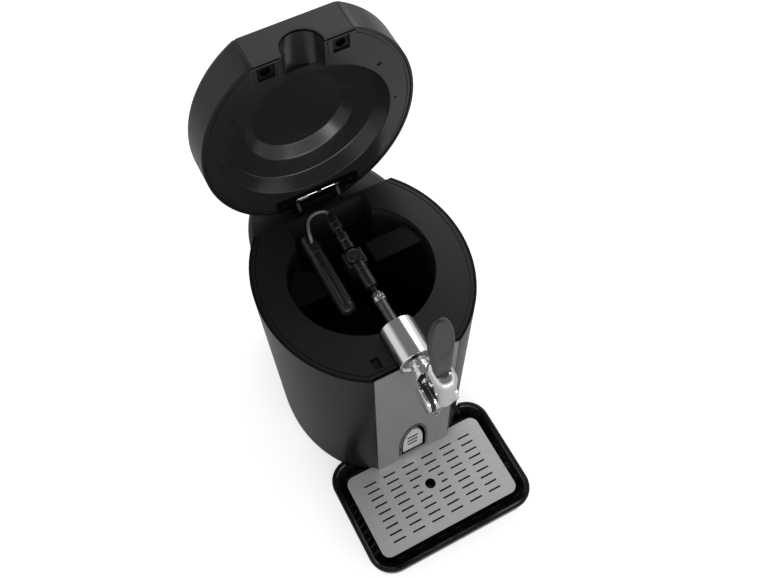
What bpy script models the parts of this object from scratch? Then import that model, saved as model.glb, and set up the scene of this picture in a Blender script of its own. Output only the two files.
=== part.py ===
"""Mini keg beer dispenser with its lid open: metres, +Z up, standing on z = 0.

The origin is under the middle of the footprint. Sizes are measured from the keg's axis,
which is the empty called keg_axis; the lid is drawn shut and its empty turns it open.
"""
import math

import bmesh
import bpy
from mathutils import Matrix, Vector

MM = 0.001
GAP = 0.3 * MM
OVERRUN = 4.0 * MM
ROUND_STEPS = 16
SMOOTH_ANGLE = math.radians(32)
FLAT_ANGLE = math.radians(0.02)
MERGE_REACH = 0.001 * MM

# Body shell: a tapered oval round the keg, with a flat front
BODY_TOP = 328.8 * MM
BODY_BOTTOM = 20.0 * MM
RIM_HALF_WIDTH = 135.0 * MM
RIM_HALF_DEPTH = 155.0 * MM
FOOT_HALF_WIDTH = 127.0 * MM
TAPER_DEPTH = 1.5 * MM
BODY_CENTRE = -3.0 * MM
BODY_WALL = 3.0 * MM
FRONT_FACE = -143.4 * MM
PANEL_HALF_WIDTH = 56.0 * MM
CHAMFER_HALF_WIDTH = 62.0 * MM
PANEL_THICK = 1.5 * MM
PANEL_BOTTOM = 24.0 * MM
FRONT_WALL = 2.7 * MM
SIDE_STEPS = 14
CHORD_STEPS = 5

# Top ring, keg chamber and the cooler behind it
RING_THICK = 3.6 * MM
RING_DROP = 0.5 * MM
RING_BACK = 104.4 * MM
SKIRT_THICK = 2.1 * MM
SKIRT_BOTTOM = 296.0 * MM
SKIRT_HALF_WIDTH = 93.0 * MM
BORE_RADIUS = 92.5 * MM
BORE_STEPS = 32
POCKET_HALF_WIDTH = 54.0 * MM
POCKET_BACK = 100.4 * MM
LINER_WALL = 1.6 * MM
CHAMBER_FLOOR = 40.0 * MM
JACKET_THICK = 15.0 * MM
JACKET_TOP = 298.0 * MM
JACKET_BACK = 68.0 * MM
COOLER_Z = 160.0 * MM
COLD_WIDTH = 80.0 * MM
COLD_HEIGHT = 100.0 * MM
COLD_THICK = 9.7 * MM
MODULE_SIZE = 40.0 * MM
MODULE_THICK = 4.0 * MM
SINK_WIDTH = 92.0 * MM
SINK_BASE = 5.0 * MM
SINK_FIN_LENGTH = 15.8 * MM
SINK_FIN = 2.0 * MM
SINK_FINS = 13
FAN_SIZE = 80.0 * MM
FAN_DEPTH = 15.0 * MM
FAN_BORE = 37.0 * MM
FAN_HUB = 13.0 * MM
FAN_PLATE = 3.0 * MM
FAN_STRUT = 4.0 * MM
BLADE_COUNT = 7
BLADE_THICK = 1.6 * MM
BLADE_CHORD = 11.0 * MM
BLADE_TIP_GAP = 1.6 * MM
BLADE_TWIST = math.radians(35)

# Rear housing
HOUSING_SPLIT = 92.0 * MM
HOUSING_CENTRE = 80.0 * MM
HOUSING_HALF_DEPTH = 129.0 * MM
HOUSING_BACK = 166.0 * MM
HOUSING_TOP = 305.0 * MM
HOUSING_WALL = 2.5 * MM
HOUSING_ROUND = 9.0 * MM
GRILLE_SIZE = 84.0 * MM
GRILLE_THICK = 2.5 * MM
GRILLE_SLOTS = 8
GRILLE_SLOT = 5.0 * MM
GRILLE_EDGE = 5.0 * MM
INLET_X = -52.0 * MM
INLET_Z = 46.0 * MM
INLET_WIDTH = 28.0 * MM
INLET_HEIGHT = 20.0 * MM
INLET_DEPTH = 18.0 * MM
INLET_WALL = 3.0 * MM
INLET_SOCKET = 12.0 * MM

# Base
FOOT_HEIGHT = 5.7 * MM
FOOT_RADIUS = 11.0 * MM
FOOT_FRONT_X = 74.0 * MM
FOOT_FRONT_Y = -62.0 * MM
FOOT_BACK_X = 66.0 * MM
FOOT_BACK_Y = 128.0 * MM
BASE_THICK = 4.0 * MM
BASE_INSET = 1.0 * MM
BASE_WALL = 3.0 * MM
BOARD_WIDTH = 110.0 * MM
BOARD_LENGTH = 70.0 * MM
BOARD_THICK = 1.6 * MM
BOARD_RISE = 4.0 * MM
BOARD_POST = 3.5 * MM
BOARD_POST_INSET = 7.0 * MM
COIL_BLOCK = 26.0 * MM
COIL_HEIGHT = 16.0 * MM

# Drip tray and plate
TRAY_HALF_WIDTH = 126.0 * MM
TRAY_FRONT = -283.5 * MM
TRAY_BACK = -107.5 * MM
TRAY_CORNER = 34.0 * MM
TRAY_BOTTOM = 2.0 * MM
TRAY_RIM_Z = 25.0 * MM
TRAY_RIM = 6.5 * MM
TRAY_FLOOR = 5.0 * MM
TRAY_SLOPE = 12.0 * MM
TRAY_DRAFT = 3.0 * MM
TRAY_LOW_Z = 19.2 * MM
TRAY_LOW_HALF_WIDTH = 95.0 * MM
TRAY_LOW_FRONT = -141.0 * MM
TRAY_POST = 6.0 * MM
TRAY_POST_INSET = 14.0 * MM
TRAY_PAD = 9.0 * MM
TRAY_PAD_INSET = 30.0 * MM
CORNER_STEPS = 6
PLATE_HALF_WIDTH = 106.5 * MM
PLATE_FRONT = -261.0 * MM
PLATE_BACK = -135.0 * MM
PLATE_CORNER = 12.0 * MM
PLATE_TOP = 22.0 * MM
PLATE_THICK = 1.5 * MM
SLOT_LENGTH = 19.0 * MM
SLOT_WIDTH = 2.5 * MM
SLOT_FIRST_Y = -156.7 * MM
SLOT_PITCH_Y = 11.0 * MM
SLOT_PITCH_X = 30.5 * MM
SLOT_ROWS = 9
SLOT_COLUMNS = 6
FINGER_HOLE_Y = -195.2 * MM
FINGER_HOLE = 6.5 * MM

# Push button in its arched recess
ARCH_HALF_WIDTH = 19.0 * MM
ARCH_BOTTOM = 38.0 * MM
ARCH_TOP = 127.0 * MM
ARCH_STEPS = 12
BEZEL_WALL = 3.2 * MM
BEZEL_PROUD = 0.5 * MM
BEZEL_DEPTH = 18.0 * MM
BUTTON_HALF_WIDTH = 15.0 * MM
BUTTON_BOTTOM = 40.0 * MM
BUTTON_TOP = 108.0 * MM
BUTTON_SINK = 3.0 * MM
BUTTON_THICK = 4.5 * MM
BUTTON_TRAVEL = 3.0 * MM
BUTTON_STEM = 10.0 * MM
BUTTON_STEM_Z = 74.0 * MM
BUTTON_STEM_PAST = 3.2 * MM
GRIP_FIRST_Z = 76.0 * MM
GRIP_PITCH = 11.0 * MM
GRIP_COUNT = 3
GRIP_WIDTH = 22.0 * MM
GRIP_HEIGHT = 2.4 * MM
GRIP_DEPTH = 1.0 * MM
SWITCH_WIDTH = 24.0 * MM
SWITCH_HEIGHT = 22.0 * MM
SWITCH_DEPTH = 13.0 * MM
SWITCH_SLACK = 0.5 * MM

# Lid, drawn shut, and its hinge
HINGE_Y = 125.9 * MM
HINGE_Z = 336.1 * MM
LID_OPEN = math.radians(87.7)
LID_SEAT = 0.5 * MM
LID_TOP = 375.0 * MM
LID_HALF_WIDTH = 133.3 * MM
LID_DEPTH_SETBACK = 0.4 * MM
LID_CENTRE = -5.3 * MM
LID_BACK_FLAT = 0.8 * MM
LID_FRONT = -143.0 * MM
LID_WALL = 3.0 * MM
LID_ROUND = 8.5 * MM
LID_ROUND_STEPS = 3
BLOCK_HALF_WIDTH = 57.0 * MM
BLOCK_THICK = 2.7 * MM
BLOCK_TOP = 371.5 * MM
BLOCK_CHAMFER = 1.2 * MM
LID_FRONT_WALL = 2.0 * MM
LINER_SKIN = 2.0 * MM
RECESS_PAST = 10.5 * MM
TERRACE_WIDTH = 9.5 * MM
TERRACE_Z = 349.5 * MM
STEP_WIDTH = 22.5 * MM
STEP_Z = 357.0 * MM
DISC_SLOPE = 13.6 * MM
DISC_Z = 369.0 * MM
NOTCH_RADIUS = 24.3 * MM
NOTCH_Z = 331.7 * MM
TUNNEL_PAST = 3.0 * MM
SOCKET_X = 43.0 * MM
SOCKET_Y = -126.6 * MM
SOCKET_SIZE = 20.0 * MM
MAGNET_SIZE = 21.4 * MM
MAGNET_THICK = 10.0 * MM
MAGNET_HOLE = 6.0 * MM
STRIKE_WIDTH = 11.0 * MM
STRIKE_DEPTH = 15.0 * MM
STRIKE_Y = -123.0 * MM
STRIKE_LEDGE = 2.0 * MM
STRIKE_THICK = 5.0 * MM
PIN_RADIUS = 2.75 * MM
PIN_HALF_LENGTH = 36.0 * MM
KNUCKLE_RADIUS = 5.0 * MM
ARM_IN = 26.0 * MM
ARM_OUT = 30.0 * MM
ARM_HALF = 2.6 * MM
BRACKET_THICK = 2.5 * MM
BRACKET_HALF_WIDTH = 32.0 * MM
BRACKET_BOTTOM = 306.0 * MM
BRACKET_TOP = 321.0 * MM
EAR_IN = 31.0 * MM
EAR_OUT = 35.5 * MM
MIDDLE_IN = 0.7 * MM
MIDDLE_OUT = 6.0 * MM
LEAF_HALF_WIDTH = 56.0 * MM
LEAF_FRONT = 108.5 * MM
LEAF_BACK = 128.0 * MM
LEAF_THICK = 2.0 * MM
LEAF_STRIP = 4.0 * MM
HINGE_POCKET_HALF = 38.0 * MM
HINGE_POCKET_FRONT = 109.5 * MM
HINGE_POCKET_RIM = 1.9 * MM
SPRING_START = -24.6 * MM
SPRING_END = -12.0 * MM
SPRING_RADIUS = 4.2 * MM
SPRING_WIRE = 0.8 * MM
SPRING_TURN_COUNT = 5
SPRING_POINT_COUNT = 10

# Tap
TAP_Z = 330.0 * MM
TOWER_RADIUS = 22.5 * MM
TOWER_BACK = -92.0 * MM
TOWER_FRONT = -143.5 * MM
TOWER_SEAT = 0.5 * MM
BEER_BORE = 4.0 * MM
SHANK_RADIUS = 11.4 * MM
COLLAR_BACK = -154.0 * MM
COLLAR_FRONT = -165.0 * MM
COLLAR_RADIUS = 13.0 * MM
NECK_RADIUS = 9.0 * MM
RING_SEAL_RADIUS = 11.5 * MM
RING_SEAL_WIDTH = 3.0 * MM
BARREL_Y = -189.0 * MM
BARREL_Z = 331.0 * MM
BARREL_RADIUS = 17.0 * MM
BARREL_END = 20.0 * MM
BARREL_WALL = 3.0 * MM
CAP_THICK = 4.0 * MM
CAP_SLOT = 3.0 * MM
CAP_SLOT_DEPTH = 1.2 * MM
BAND_WIDTH = 5.0 * MM
BAND_THICK = 1.8 * MM
SPINDLE_RADIUS = 8.6 * MM
SPOUT_LENGTH = 36.0 * MM
SPOUT_TOP_RADIUS = 9.0 * MM
SPOUT_TIP_RADIUS = 6.5 * MM
SPOUT_CUFF = 12.0 * MM
HUB_LEFT = -10.0 * MM
HUB_RIGHT = 18.0 * MM
HUB_FRONT = 20.0 * MM
HUB_HEIGHT = 57.5 * MM
HUB_CORNER = 8.0 * MM
HUB_BACK = 19.5 * MM
HUB_BACK_RISE = 14.5 * MM
HANDLE_BASE_Y = -190.0 * MM
HANDLE_BASE_Z = 378.0 * MM
HANDLE_TILT = math.radians(7.3)
HANDLE_LENGTH = 106.0 * MM
HANDLE_SHOULDER = 12.0 * MM
HANDLE_TANG = 12.0 * MM
HANDLE_TANG_WIDTH = 18.0 * MM
HANDLE_TANG_THICK = 11.0 * MM
HANDLE_WIDTH = 29.5 * MM
HANDLE_THICK = 13.0 * MM
HANDLE_SIDES = 12
DISH_HALF_WIDTH = 11.0 * MM
DISH_HALF_HEIGHT = 17.0 * MM
DISH_DEPTH = 2.2 * MM
DISH_UP = 76.0 * MM
LEVER_PIN_Y = -191.0 * MM
LEVER_PIN_Z = 371.5 * MM
LEVER_PIN_HEAD = 3.75 * MM
LEVER_PIN_HEAD_THICK = 2.0 * MM
LEVER_PIN_RADIUS = 2.4 * MM

# Shares of the handle's length, width and thickness, from its shoulder to its top
HANDLE_STATION_SHARES = (
    (0.0, 0.61, 0.846),
    (0.06, 0.71, 0.92),
    (0.28, 0.85, 1.0),
    (0.48, 1.0, 1.0),
    (0.61, 1.0, 1.0),
    (0.81, 0.8, 0.9),
    (0.92, 0.58, 0.74),
    (1.0, 0.26, 0.4),
)

# Keg coupler, gas regulator and lines across the chamber's mouth
COUPLER_Y = 17.0 * MM
COUPLER_HALF_WIDTH = 13.0 * MM
COUPLER_HALF_LENGTH = 11.7 * MM
COUPLER_TOP = 331.5 * MM
COUPLER_BOTTOM = 309.0 * MM
COUPLER_SKIRT_RADIUS = 15.0 * MM
COUPLER_SKIRT_BOTTOM = 294.0 * MM
COUPLER_MOUTH = 9.0 * MM
COUPLER_MOUTH_DEPTH = 16.0 * MM
CAP_RADIUS = 10.0 * MM
CAP_HEIGHT = 4.6 * MM
GAS_FITTING_BACK = 87.0 * MM
GAS_FITTING_RADIUS = 7.6 * MM
GAS_FITTING_NECK = 5.2 * MM
BEER_FITTING_FRONT = -31.0 * MM
BEER_FITTING_RADIUS = 8.0 * MM
STEM_RADIUS = 4.0 * MM
STEM_FRONT = -58.0 * MM
TUBE_RADIUS = 6.5 * MM
TUBE_BORE = 4.6 * MM
TUBE_BACK = -42.0 * MM
CLAMP_Y = -51.0 * MM
CLAMP_WIDTH = 6.0 * MM
CLAMP_THICK = 1.4 * MM
CLAMP_EAR = 4.5 * MM
CLAMP_EAR_THICK = 1.6 * MM
GAS_X = -38.0 * MM
GAS_Z = 322.0 * MM
GAS_RADIUS = 10.5 * MM
GAS_HEAD_BACK = 74.0 * MM
GAS_HEAD_FRONT = 25.3 * MM
GAS_SLEEVE_FRONT = -47.0 * MM
GAS_SLEEVE_WALL = 1.2 * MM
CARTRIDGE_RADIUS = 8.9 * MM
CARTRIDGE_SLACK = 2.0 * MM
CARTRIDGE_NECK = 4.0 * MM
CARTRIDGE_SHOULDER = 14.0 * MM
NIPPLE_RADIUS = 3.2 * MM
NIPPLE_HEIGHT = 2.6 * MM
NIPPLE_Y = 59.0 * MM
PLATE_GAUGE = 2.5 * MM
BRACKET_REACH_FRONT = -5.0 * MM
BRACKET_REACH_BACK = 21.0 * MM
BRACKET_PAST = 5.0 * MM
BRACKET_POINT = 24.0 * MM
BRACKET_POINT_X = -69.0 * MM
LEDGE_X = 24.0 * MM
LEDGE_FRONT = 5.0 * MM
LEDGE_BACK = 35.0 * MM
LEDGE_TOP = 320.0 * MM
WALL_STEPS = 5

# Gas hose: its route's own points, from the regulator's nipple to the coupler
HOSE_RADIUS = 2.0 * MM
HOSE_POINT_COUNT = 15
HOSE_STEPS = 24
HOSE_ROUTE = (
    (-38.0, 59.0, 335.4),
    (-38.0, 59.2, 339.6),
    (-37.6, 62.6, 343.6),
    (-36.0, 70.0, 345.6),
    (-31.4, 81.0, 344.6),
    (-25.4, 88.6, 341.8),
    (-17.4, 93.0, 338.4),
    (-9.4, 94.8, 335.2),
    (-2.9, 94.2, 331.9),
    (0.0, 91.2, 330.2),
    (0.0, 87.3, 330.0),
)

# The origin lies half way between the tray's front and the housing's back
KEG_Y = -(TRAY_FRONT + HOUSING_BACK) / 2
LID_BOTTOM = BODY_TOP + LID_SEAT
RING_TOP = BODY_TOP - RING_DROP
RING_UNDER = RING_TOP - RING_THICK

# The lid's depth follows the body's rim, and its recess follows the keg's bore
LID_HALF_DEPTH = RIM_HALF_DEPTH - LID_DEPTH_SETBACK
RECESS_RADIUS = BORE_RADIUS + RECESS_PAST
TERRACE_RADIUS = RECESS_RADIUS - TERRACE_WIDTH
STEP_RADIUS = TERRACE_RADIUS - STEP_WIDTH
DISC_RADIUS = STEP_RADIUS - DISC_SLOPE


def clear_scene():
    """Remove whatever the file holds."""
    for item in list(bpy.data.objects):
        bpy.data.objects.remove(item, do_unlink=True)


def finish(name, colour, roughness, metallic=0.0, clear=0.0):
    """A material with the piece's colour, roughness and metal share."""
    material = bpy.data.materials.new(name)
    material.use_nodes = True
    shader = material.node_tree.nodes["Principled BSDF"]
    shader.inputs["Base Color"].default_value = (*colour, 1.0)
    shader.inputs["Roughness"].default_value = roughness
    shader.inputs["Metallic"].default_value = metallic
    shader.inputs["Transmission Weight"].default_value = clear
    return material


def empty(name, place, parent=None):
    """A pivot that pieces hang from."""
    item = bpy.data.objects.new(name, None)
    item.location = place
    item.parent = parent
    bpy.context.collection.objects.link(item)
    return item


def mesh_from(name, shape, shift):
    """A mesh of flat faces that point outward, from a shape that it moves and uses up."""
    bmesh.ops.connect_verts_nonplanar(shape, angle_limit=FLAT_ANGLE, faces=shape.faces)
    bmesh.ops.recalc_face_normals(shape, faces=shape.faces)
    bmesh.ops.translate(shape, verts=shape.verts, vec=shift)
    mesh = bpy.data.meshes.new(name)
    shape.to_mesh(mesh)
    shape.free()
    return mesh


def piece(name, shape, material, pivot, origin=(0.0, 0.0, 0.0)):
    """Turn a shape into a named object that hangs from a pivot, drawn from the keg's axis."""
    mesh = mesh_from(name, shape, -Vector(origin))
    mesh.shade_smooth()
    mesh.set_sharp_from_angle(angle=SMOOTH_ANGLE)
    item = bpy.data.objects.new(name, mesh)
    item.data.materials.append(material)
    item.parent = pivot
    item.location = Vector(origin) - pivot_place(pivot)
    bpy.context.collection.objects.link(item)
    return item


def pivot_place(pivot):
    """Where a pivot lies, measured from the keg's axis and before it turns."""
    if pivot.name == "keg_axis":
        return Vector((0.0, 0.0, 0.0))
    return Vector(pivot.location)


def tidied(mesh):
    """The same mesh with doubled points and needless edges on flat faces taken out."""
    shape = bmesh.new()
    shape.from_mesh(mesh)
    bmesh.ops.remove_doubles(shape, verts=shape.verts, dist=MERGE_REACH)
    bmesh.ops.dissolve_degenerate(shape, edges=shape.edges, dist=MERGE_REACH)
    bmesh.ops.dissolve_limit(shape, angle_limit=FLAT_ANGLE, verts=shape.verts, edges=shape.edges)
    shape.to_mesh(mesh)
    shape.free()
    return mesh


def reshape(item, shape, operation="DIFFERENCE"):
    """Cut a shape out of a piece, or weld it on, with a Boolean."""
    mesh = mesh_from("tool", shape, -item.location - pivot_place(item.parent))
    tool = bpy.data.objects.new("tool", mesh)
    tool.hide_render = True
    tool.display_type = "WIRE"
    tool.parent = item
    bpy.context.collection.objects.link(tool)
    modifier = item.modifiers.new("reshape", "BOOLEAN")
    modifier.operation = operation
    modifier.object = tool
    bpy.context.view_layer.update()
    graph = bpy.context.evaluated_depsgraph_get()
    shaped = bpy.data.meshes.new_from_object(item.evaluated_get(graph))
    item.modifiers.clear()
    item.data = tidied(shaped)
    item.data.name = item.name
    item.data.shade_smooth()
    item.data.set_sharp_from_angle(angle=SMOOTH_ANGLE)
    bpy.data.objects.remove(tool, do_unlink=True)


def along(axis, u, v, w):
    """A point from two plane coordinates and a distance along an axis."""
    if axis == "X":
        return Vector((w, u, v))
    if axis == "Y":
        return Vector((u, w, v))
    return Vector((u, v, w))


def loft(rings):
    """Close a body through rings of points that match one to one."""
    shape = bmesh.new()
    loops = [[shape.verts.new(point) for point in ring] for ring in rings]
    for lower, upper in zip(loops, loops[1:]):
        for index in range(len(lower)):
            following = (index + 1) % len(lower)
            shape.faces.new((lower[index], lower[following], upper[following], upper[index]))
    shape.faces.new(loops[0])
    shape.faces.new(loops[-1])
    return shape


def prism(outline, low, high, axis="Z"):
    """An outline pushed along an axis."""
    return loft([[along(axis, u, v, w) for u, v in outline] for w in (low, high)])


def block(x_range, y_range, z_range):
    """A box between named limits."""
    left, right = x_range
    front, back = y_range
    outline = [(left, front), (right, front), (right, back), (left, back)]
    return prism(outline, *z_range)


def turned(profile, axis="Z", centre=(0.0, 0.0), steps=ROUND_STEPS):
    """A profile of (radius, place) points turned about an axis; a closed one makes a ring."""
    shape = bmesh.new()
    loops = []
    for radius, place in profile:
        count = steps if radius > 0.0 else 1
        ring = []
        for index in range(count):
            turn = math.tau * index / steps
            u = centre[0] + radius * math.cos(turn)
            v = centre[1] + radius * math.sin(turn)
            ring.append(shape.verts.new(along(axis, u, v, place)))
        loops.append(ring)
    pairs = list(zip(loops, loops[1:]))
    if len(loops[0]) > 1:
        pairs.append((loops[-1], loops[0]))
    for first, second in pairs:
        for index in range(steps):
            following = (index + 1) % steps
            corners = [first[index % len(first)], first[following % len(first)],
                       second[following % len(second)], second[index % len(second)]]
            shape.faces.new(list(dict.fromkeys(corners)))
    return shape


def rod(radius, low, high, axis="Z", centre=(0.0, 0.0), steps=ROUND_STEPS):
    """A plain solid cylinder."""
    return turned([(0.0, low), (radius, low), (radius, high), (0.0, high)], axis, centre, steps)


def pipe(outer, inner, low, high, axis="Z", centre=(0.0, 0.0), steps=ROUND_STEPS):
    """A tube that is open at both ends."""
    return turned([(inner, low), (outer, low), (outer, high), (inner, high)], axis, centre, steps)


def clear_of(radius, steps=ROUND_STEPS):
    """The corner radius of a faceted bore that clears a round piece by the gap."""
    return (radius + GAP) / math.cos(math.pi / steps)


def mirrored(points):
    """The same points on the other side, in the order that carries a path on."""
    return [(-x, y) for x, y in reversed(points)]


def between(start, stop, steps):
    """The points inside a straight stretch."""
    points = []
    for index in range(1, steps):
        share = index / steps
        points.append((start[0] + (stop[0] - start[0]) * share,
                       start[1] + (stop[1] - start[1]) * share))
    return points


def side_arc(half_width, half_depth, centre, back, front, steps=SIDE_STEPS):
    """The right-hand stretch of an oval from one Y forward to another."""
    start = math.asin((back - centre) / half_depth)
    stop = math.asin((front - centre) / half_depth)
    points = []
    for index in range(steps + 1):
        turn = start + (stop - start) * index / steps
        points.append((half_width * math.cos(turn), centre + half_depth * math.sin(turn)))
    return points


def oval_front(half_width, half_depth, centre, x):
    """The Y of an oval's front side at an X."""
    return centre - half_depth * math.sqrt(1.0 - (x / half_width) ** 2)


def oval_back(half_width, half_depth, centre, x):
    """The Y of an oval's back side at an X."""
    return centre + half_depth * math.sqrt(1.0 - (x / half_width) ** 2)


def oval_side(half_width, half_depth, centre, y):
    """The X of an oval's right side at a Y."""
    return half_width * math.sqrt(1.0 - ((y - centre) / half_depth) ** 2)


def clipped_oval(half_width, half_depth, centre, back, front):
    """An oval with a straight back and a straight front."""
    right = side_arc(half_width, half_depth, centre, back, front)
    left = mirrored(right)
    front_run = between(right[-1], left[0], CHORD_STEPS)
    back_run = between(left[-1], right[0], CHORD_STEPS)
    return right + front_run + left + back_run


def rounded_box(half_width, front, back, corner, steps=CORNER_STEPS):
    """A rectangle with four round corners."""
    centres = ((half_width - corner, back - corner, 0.0),
               (-half_width + corner, back - corner, math.pi / 2),
               (-half_width + corner, front + corner, math.pi),
               (half_width - corner, front + corner, math.pi * 3 / 2))
    points = []
    for x, y, start in centres:
        for index in range(steps + 1):
            turn = start + math.pi / 2 * index / steps
            points.append((x + corner * math.cos(turn), y + corner * math.sin(turn)))
    return points


def arch(half_width, bottom, top):
    """An upright opening with a half-round top."""
    spring_line = top - half_width
    points = [(-half_width, bottom), (half_width, bottom)]
    for index in range(ARCH_STEPS + 1):
        turn = math.pi * index / ARCH_STEPS
        points.append((half_width * math.cos(turn), spring_line + half_width * math.sin(turn)))
    return points


def lifted(outline, height):
    """A flat outline at a height."""
    return [(x, y, height) for x, y in outline]


def body_oval(height):
    """The body's half width and half depth at a height."""
    share = (height - BODY_BOTTOM) / (BODY_TOP - BODY_BOTTOM)
    half_width = FOOT_HALF_WIDTH + (RIM_HALF_WIDTH - FOOT_HALF_WIDTH) * share
    half_depth = RIM_HALF_DEPTH - TAPER_DEPTH * (1.0 - share)
    return half_width, half_depth


def shell_outline(height):
    """Once round the body's open wall: outside, into the panel's recess, and back inside."""
    half_width, half_depth = body_oval(height)
    back = RING_BACK - GAP
    chamfer_y = oval_front(half_width, half_depth, BODY_CENTRE, CHAMFER_HALF_WIDTH)
    outside = side_arc(half_width, half_depth, BODY_CENTRE, back, chamfer_y)
    recess_x = PANEL_HALF_WIDTH + GAP
    recess_y = FRONT_FACE + PANEL_THICK + GAP
    front = [(recess_x, FRONT_FACE), (recess_x, recess_y)]
    inside = side_arc(half_width - BODY_WALL, half_depth - BODY_WALL, BODY_CENTRE,
                      back, recess_y + FRONT_WALL)
    right = outside + front
    left_inside = mirrored(inside)[::-1]
    return right + mirrored(right) + left_inside + inside[::-1]


def make_body_shell(root, plastic):
    """Oval wall, open at the back for the housing and cut for the tray, button and tap."""
    shell = piece("body_shell", loft([lifted(shell_outline(BODY_BOTTOM), BODY_BOTTOM),
                                      lifted(shell_outline(BODY_TOP), BODY_TOP)]), plastic, root)
    side = RIM_HALF_WIDTH + OVERRUN
    reshape(shell, block((-side, side), (HOUSING_SPLIT - GAP, RING_BACK + OVERRUN),
                         (BODY_BOTTOM - OVERRUN, HOUSING_TOP + GAP)))
    reshape(shell, block((-side, side), (FRONT_FACE - OVERRUN, PLATE_BACK + OVERRUN),
                         (BODY_BOTTOM - OVERRUN, PANEL_BOTTOM)))
    reshape(shell, front_hole())
    reshape(shell, tap_hole())


def front_hole():
    """The arched hole in the front that the button's surround sits in."""
    edge = BEZEL_WALL + GAP
    return prism(arch(ARCH_HALF_WIDTH + edge, ARCH_BOTTOM - edge, ARCH_TOP + edge),
                 FRONT_FACE - OVERRUN, FRONT_FACE + BEZEL_DEPTH, "Y")


def tap_hole():
    """The half-round notch in the front and the ring that the tap's tower lies in."""
    return rod(TOWER_RADIUS + TOWER_SEAT, FRONT_FACE - OVERRUN, TOWER_BACK + OVERRUN,
               "Y", (0.0, TAP_Z))


def make_front_panel(root, steel):
    """Flat steel front with the button's arch and the tap's notch."""
    panel = piece("front_panel", block((-PANEL_HALF_WIDTH, PANEL_HALF_WIDTH),
                                       (FRONT_FACE, FRONT_FACE + PANEL_THICK),
                                       (PANEL_BOTTOM, BODY_TOP - RING_DROP)), steel, root)
    reshape(panel, front_hole())
    reshape(panel, tap_hole())


def bore_outline(extra=0.0):
    """The chamber's plan: a circle with a straight-sided pocket behind it."""
    radius = BORE_RADIUS + extra
    side = POCKET_HALF_WIDTH + extra
    back = POCKET_BACK + extra
    join = math.acos(side / radius)
    points = []
    for index in range(BORE_STEPS + 1):
        turn = join - (math.pi + 2.0 * join) * index / BORE_STEPS
        points.append((radius * math.cos(turn), radius * math.sin(turn)))
    return points + [(-side, back), (side, back)]


def make_top_ring(root, plastic):
    """Plate round the keg opening, with latch holes, the tap's notch and a skirt behind."""
    half_width, half_depth = body_oval(RING_UNDER)
    inset = BODY_WALL + GAP
    front = FRONT_FACE + PANEL_THICK + FRONT_WALL + 2.0 * GAP
    outline = clipped_oval(half_width - inset, half_depth - inset, BODY_CENTRE, RING_BACK, front)
    ring = piece("top_ring", prism(outline, RING_UNDER, RING_TOP), plastic, root)
    reshape(ring, block((-SKIRT_HALF_WIDTH, SKIRT_HALF_WIDTH),
                        (RING_BACK - SKIRT_THICK, RING_BACK),
                        (SKIRT_BOTTOM, RING_UNDER + RING_THICK / 2)), "UNION")
    reshape(ring, prism(bore_outline(), RING_UNDER - OVERRUN, RING_TOP + OVERRUN))
    for side in (-1.0, 1.0):
        reshape(ring, block((side * SOCKET_X - STRIKE_WIDTH / 2, side * SOCKET_X + STRIKE_WIDTH / 2),
                            (STRIKE_Y - STRIKE_DEPTH / 2, STRIKE_Y + STRIKE_DEPTH / 2),
                            (RING_UNDER - OVERRUN, RING_TOP + OVERRUN)))
    reshape(ring, tap_hole())


def make_strikes(root, steel):
    """Plates under the ring's latch holes, which the lid's magnets meet."""
    for name, side in (("strike_left", -1.0), ("strike_right", 1.0)):
        middle = side * SOCKET_X
        half = STRIKE_WIDTH / 2 + STRIKE_LEDGE
        depth = STRIKE_DEPTH / 2
        piece(name, block((middle - half, middle + half), (STRIKE_Y - depth, STRIKE_Y + depth),
                          (RING_UNDER - GAP - STRIKE_THICK, RING_UNDER - GAP)), steel, root)


def make_chamber(root, plastic, foam):
    """Keg chamber with its pocket, and the foam jacket round it."""
    inner = bore_outline()
    outer = bore_outline(LINER_WALL)
    top = RING_UNDER - GAP
    liner = piece("chamber_liner", loft([lifted(outer, CHAMBER_FLOOR - LINER_WALL), lifted(outer, top),
                                         lifted(inner, top), lifted(inner, CHAMBER_FLOOR)]),
                  plastic, root)
    reshape(liner, tap_hole())
    inside = BORE_RADIUS + LINER_WALL + GAP
    outside = inside + JACKET_THICK
    start = math.asin(JACKET_BACK / outside)
    sweep = math.pi + 2.0 * start
    outline = []
    for radius, order in ((outside, 1), (inside, -1)):
        turns = [start - sweep * index / BORE_STEPS for index in range(BORE_STEPS + 1)]
        outline += [(radius * math.cos(turn), radius * math.sin(turn)) for turn in turns[::order]]
    piece("insulation_jacket", prism(outline, CHAMBER_FLOOR, JACKET_TOP), foam, root)


def housing_outline(height, inset, front):
    """The rear housing's plan, which carries the body's sides on to a flat back."""
    half_width, half_depth = body_oval(height)
    side = oval_side(half_width, half_depth, BODY_CENTRE, HOUSING_SPLIT)
    spread = oval_side(1.0, HOUSING_HALF_DEPTH, HOUSING_CENTRE, HOUSING_SPLIT)
    return clipped_oval(side / spread - inset, HOUSING_HALF_DEPTH - inset, HOUSING_CENTRE,
                        HOUSING_BACK - inset, front)


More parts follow.
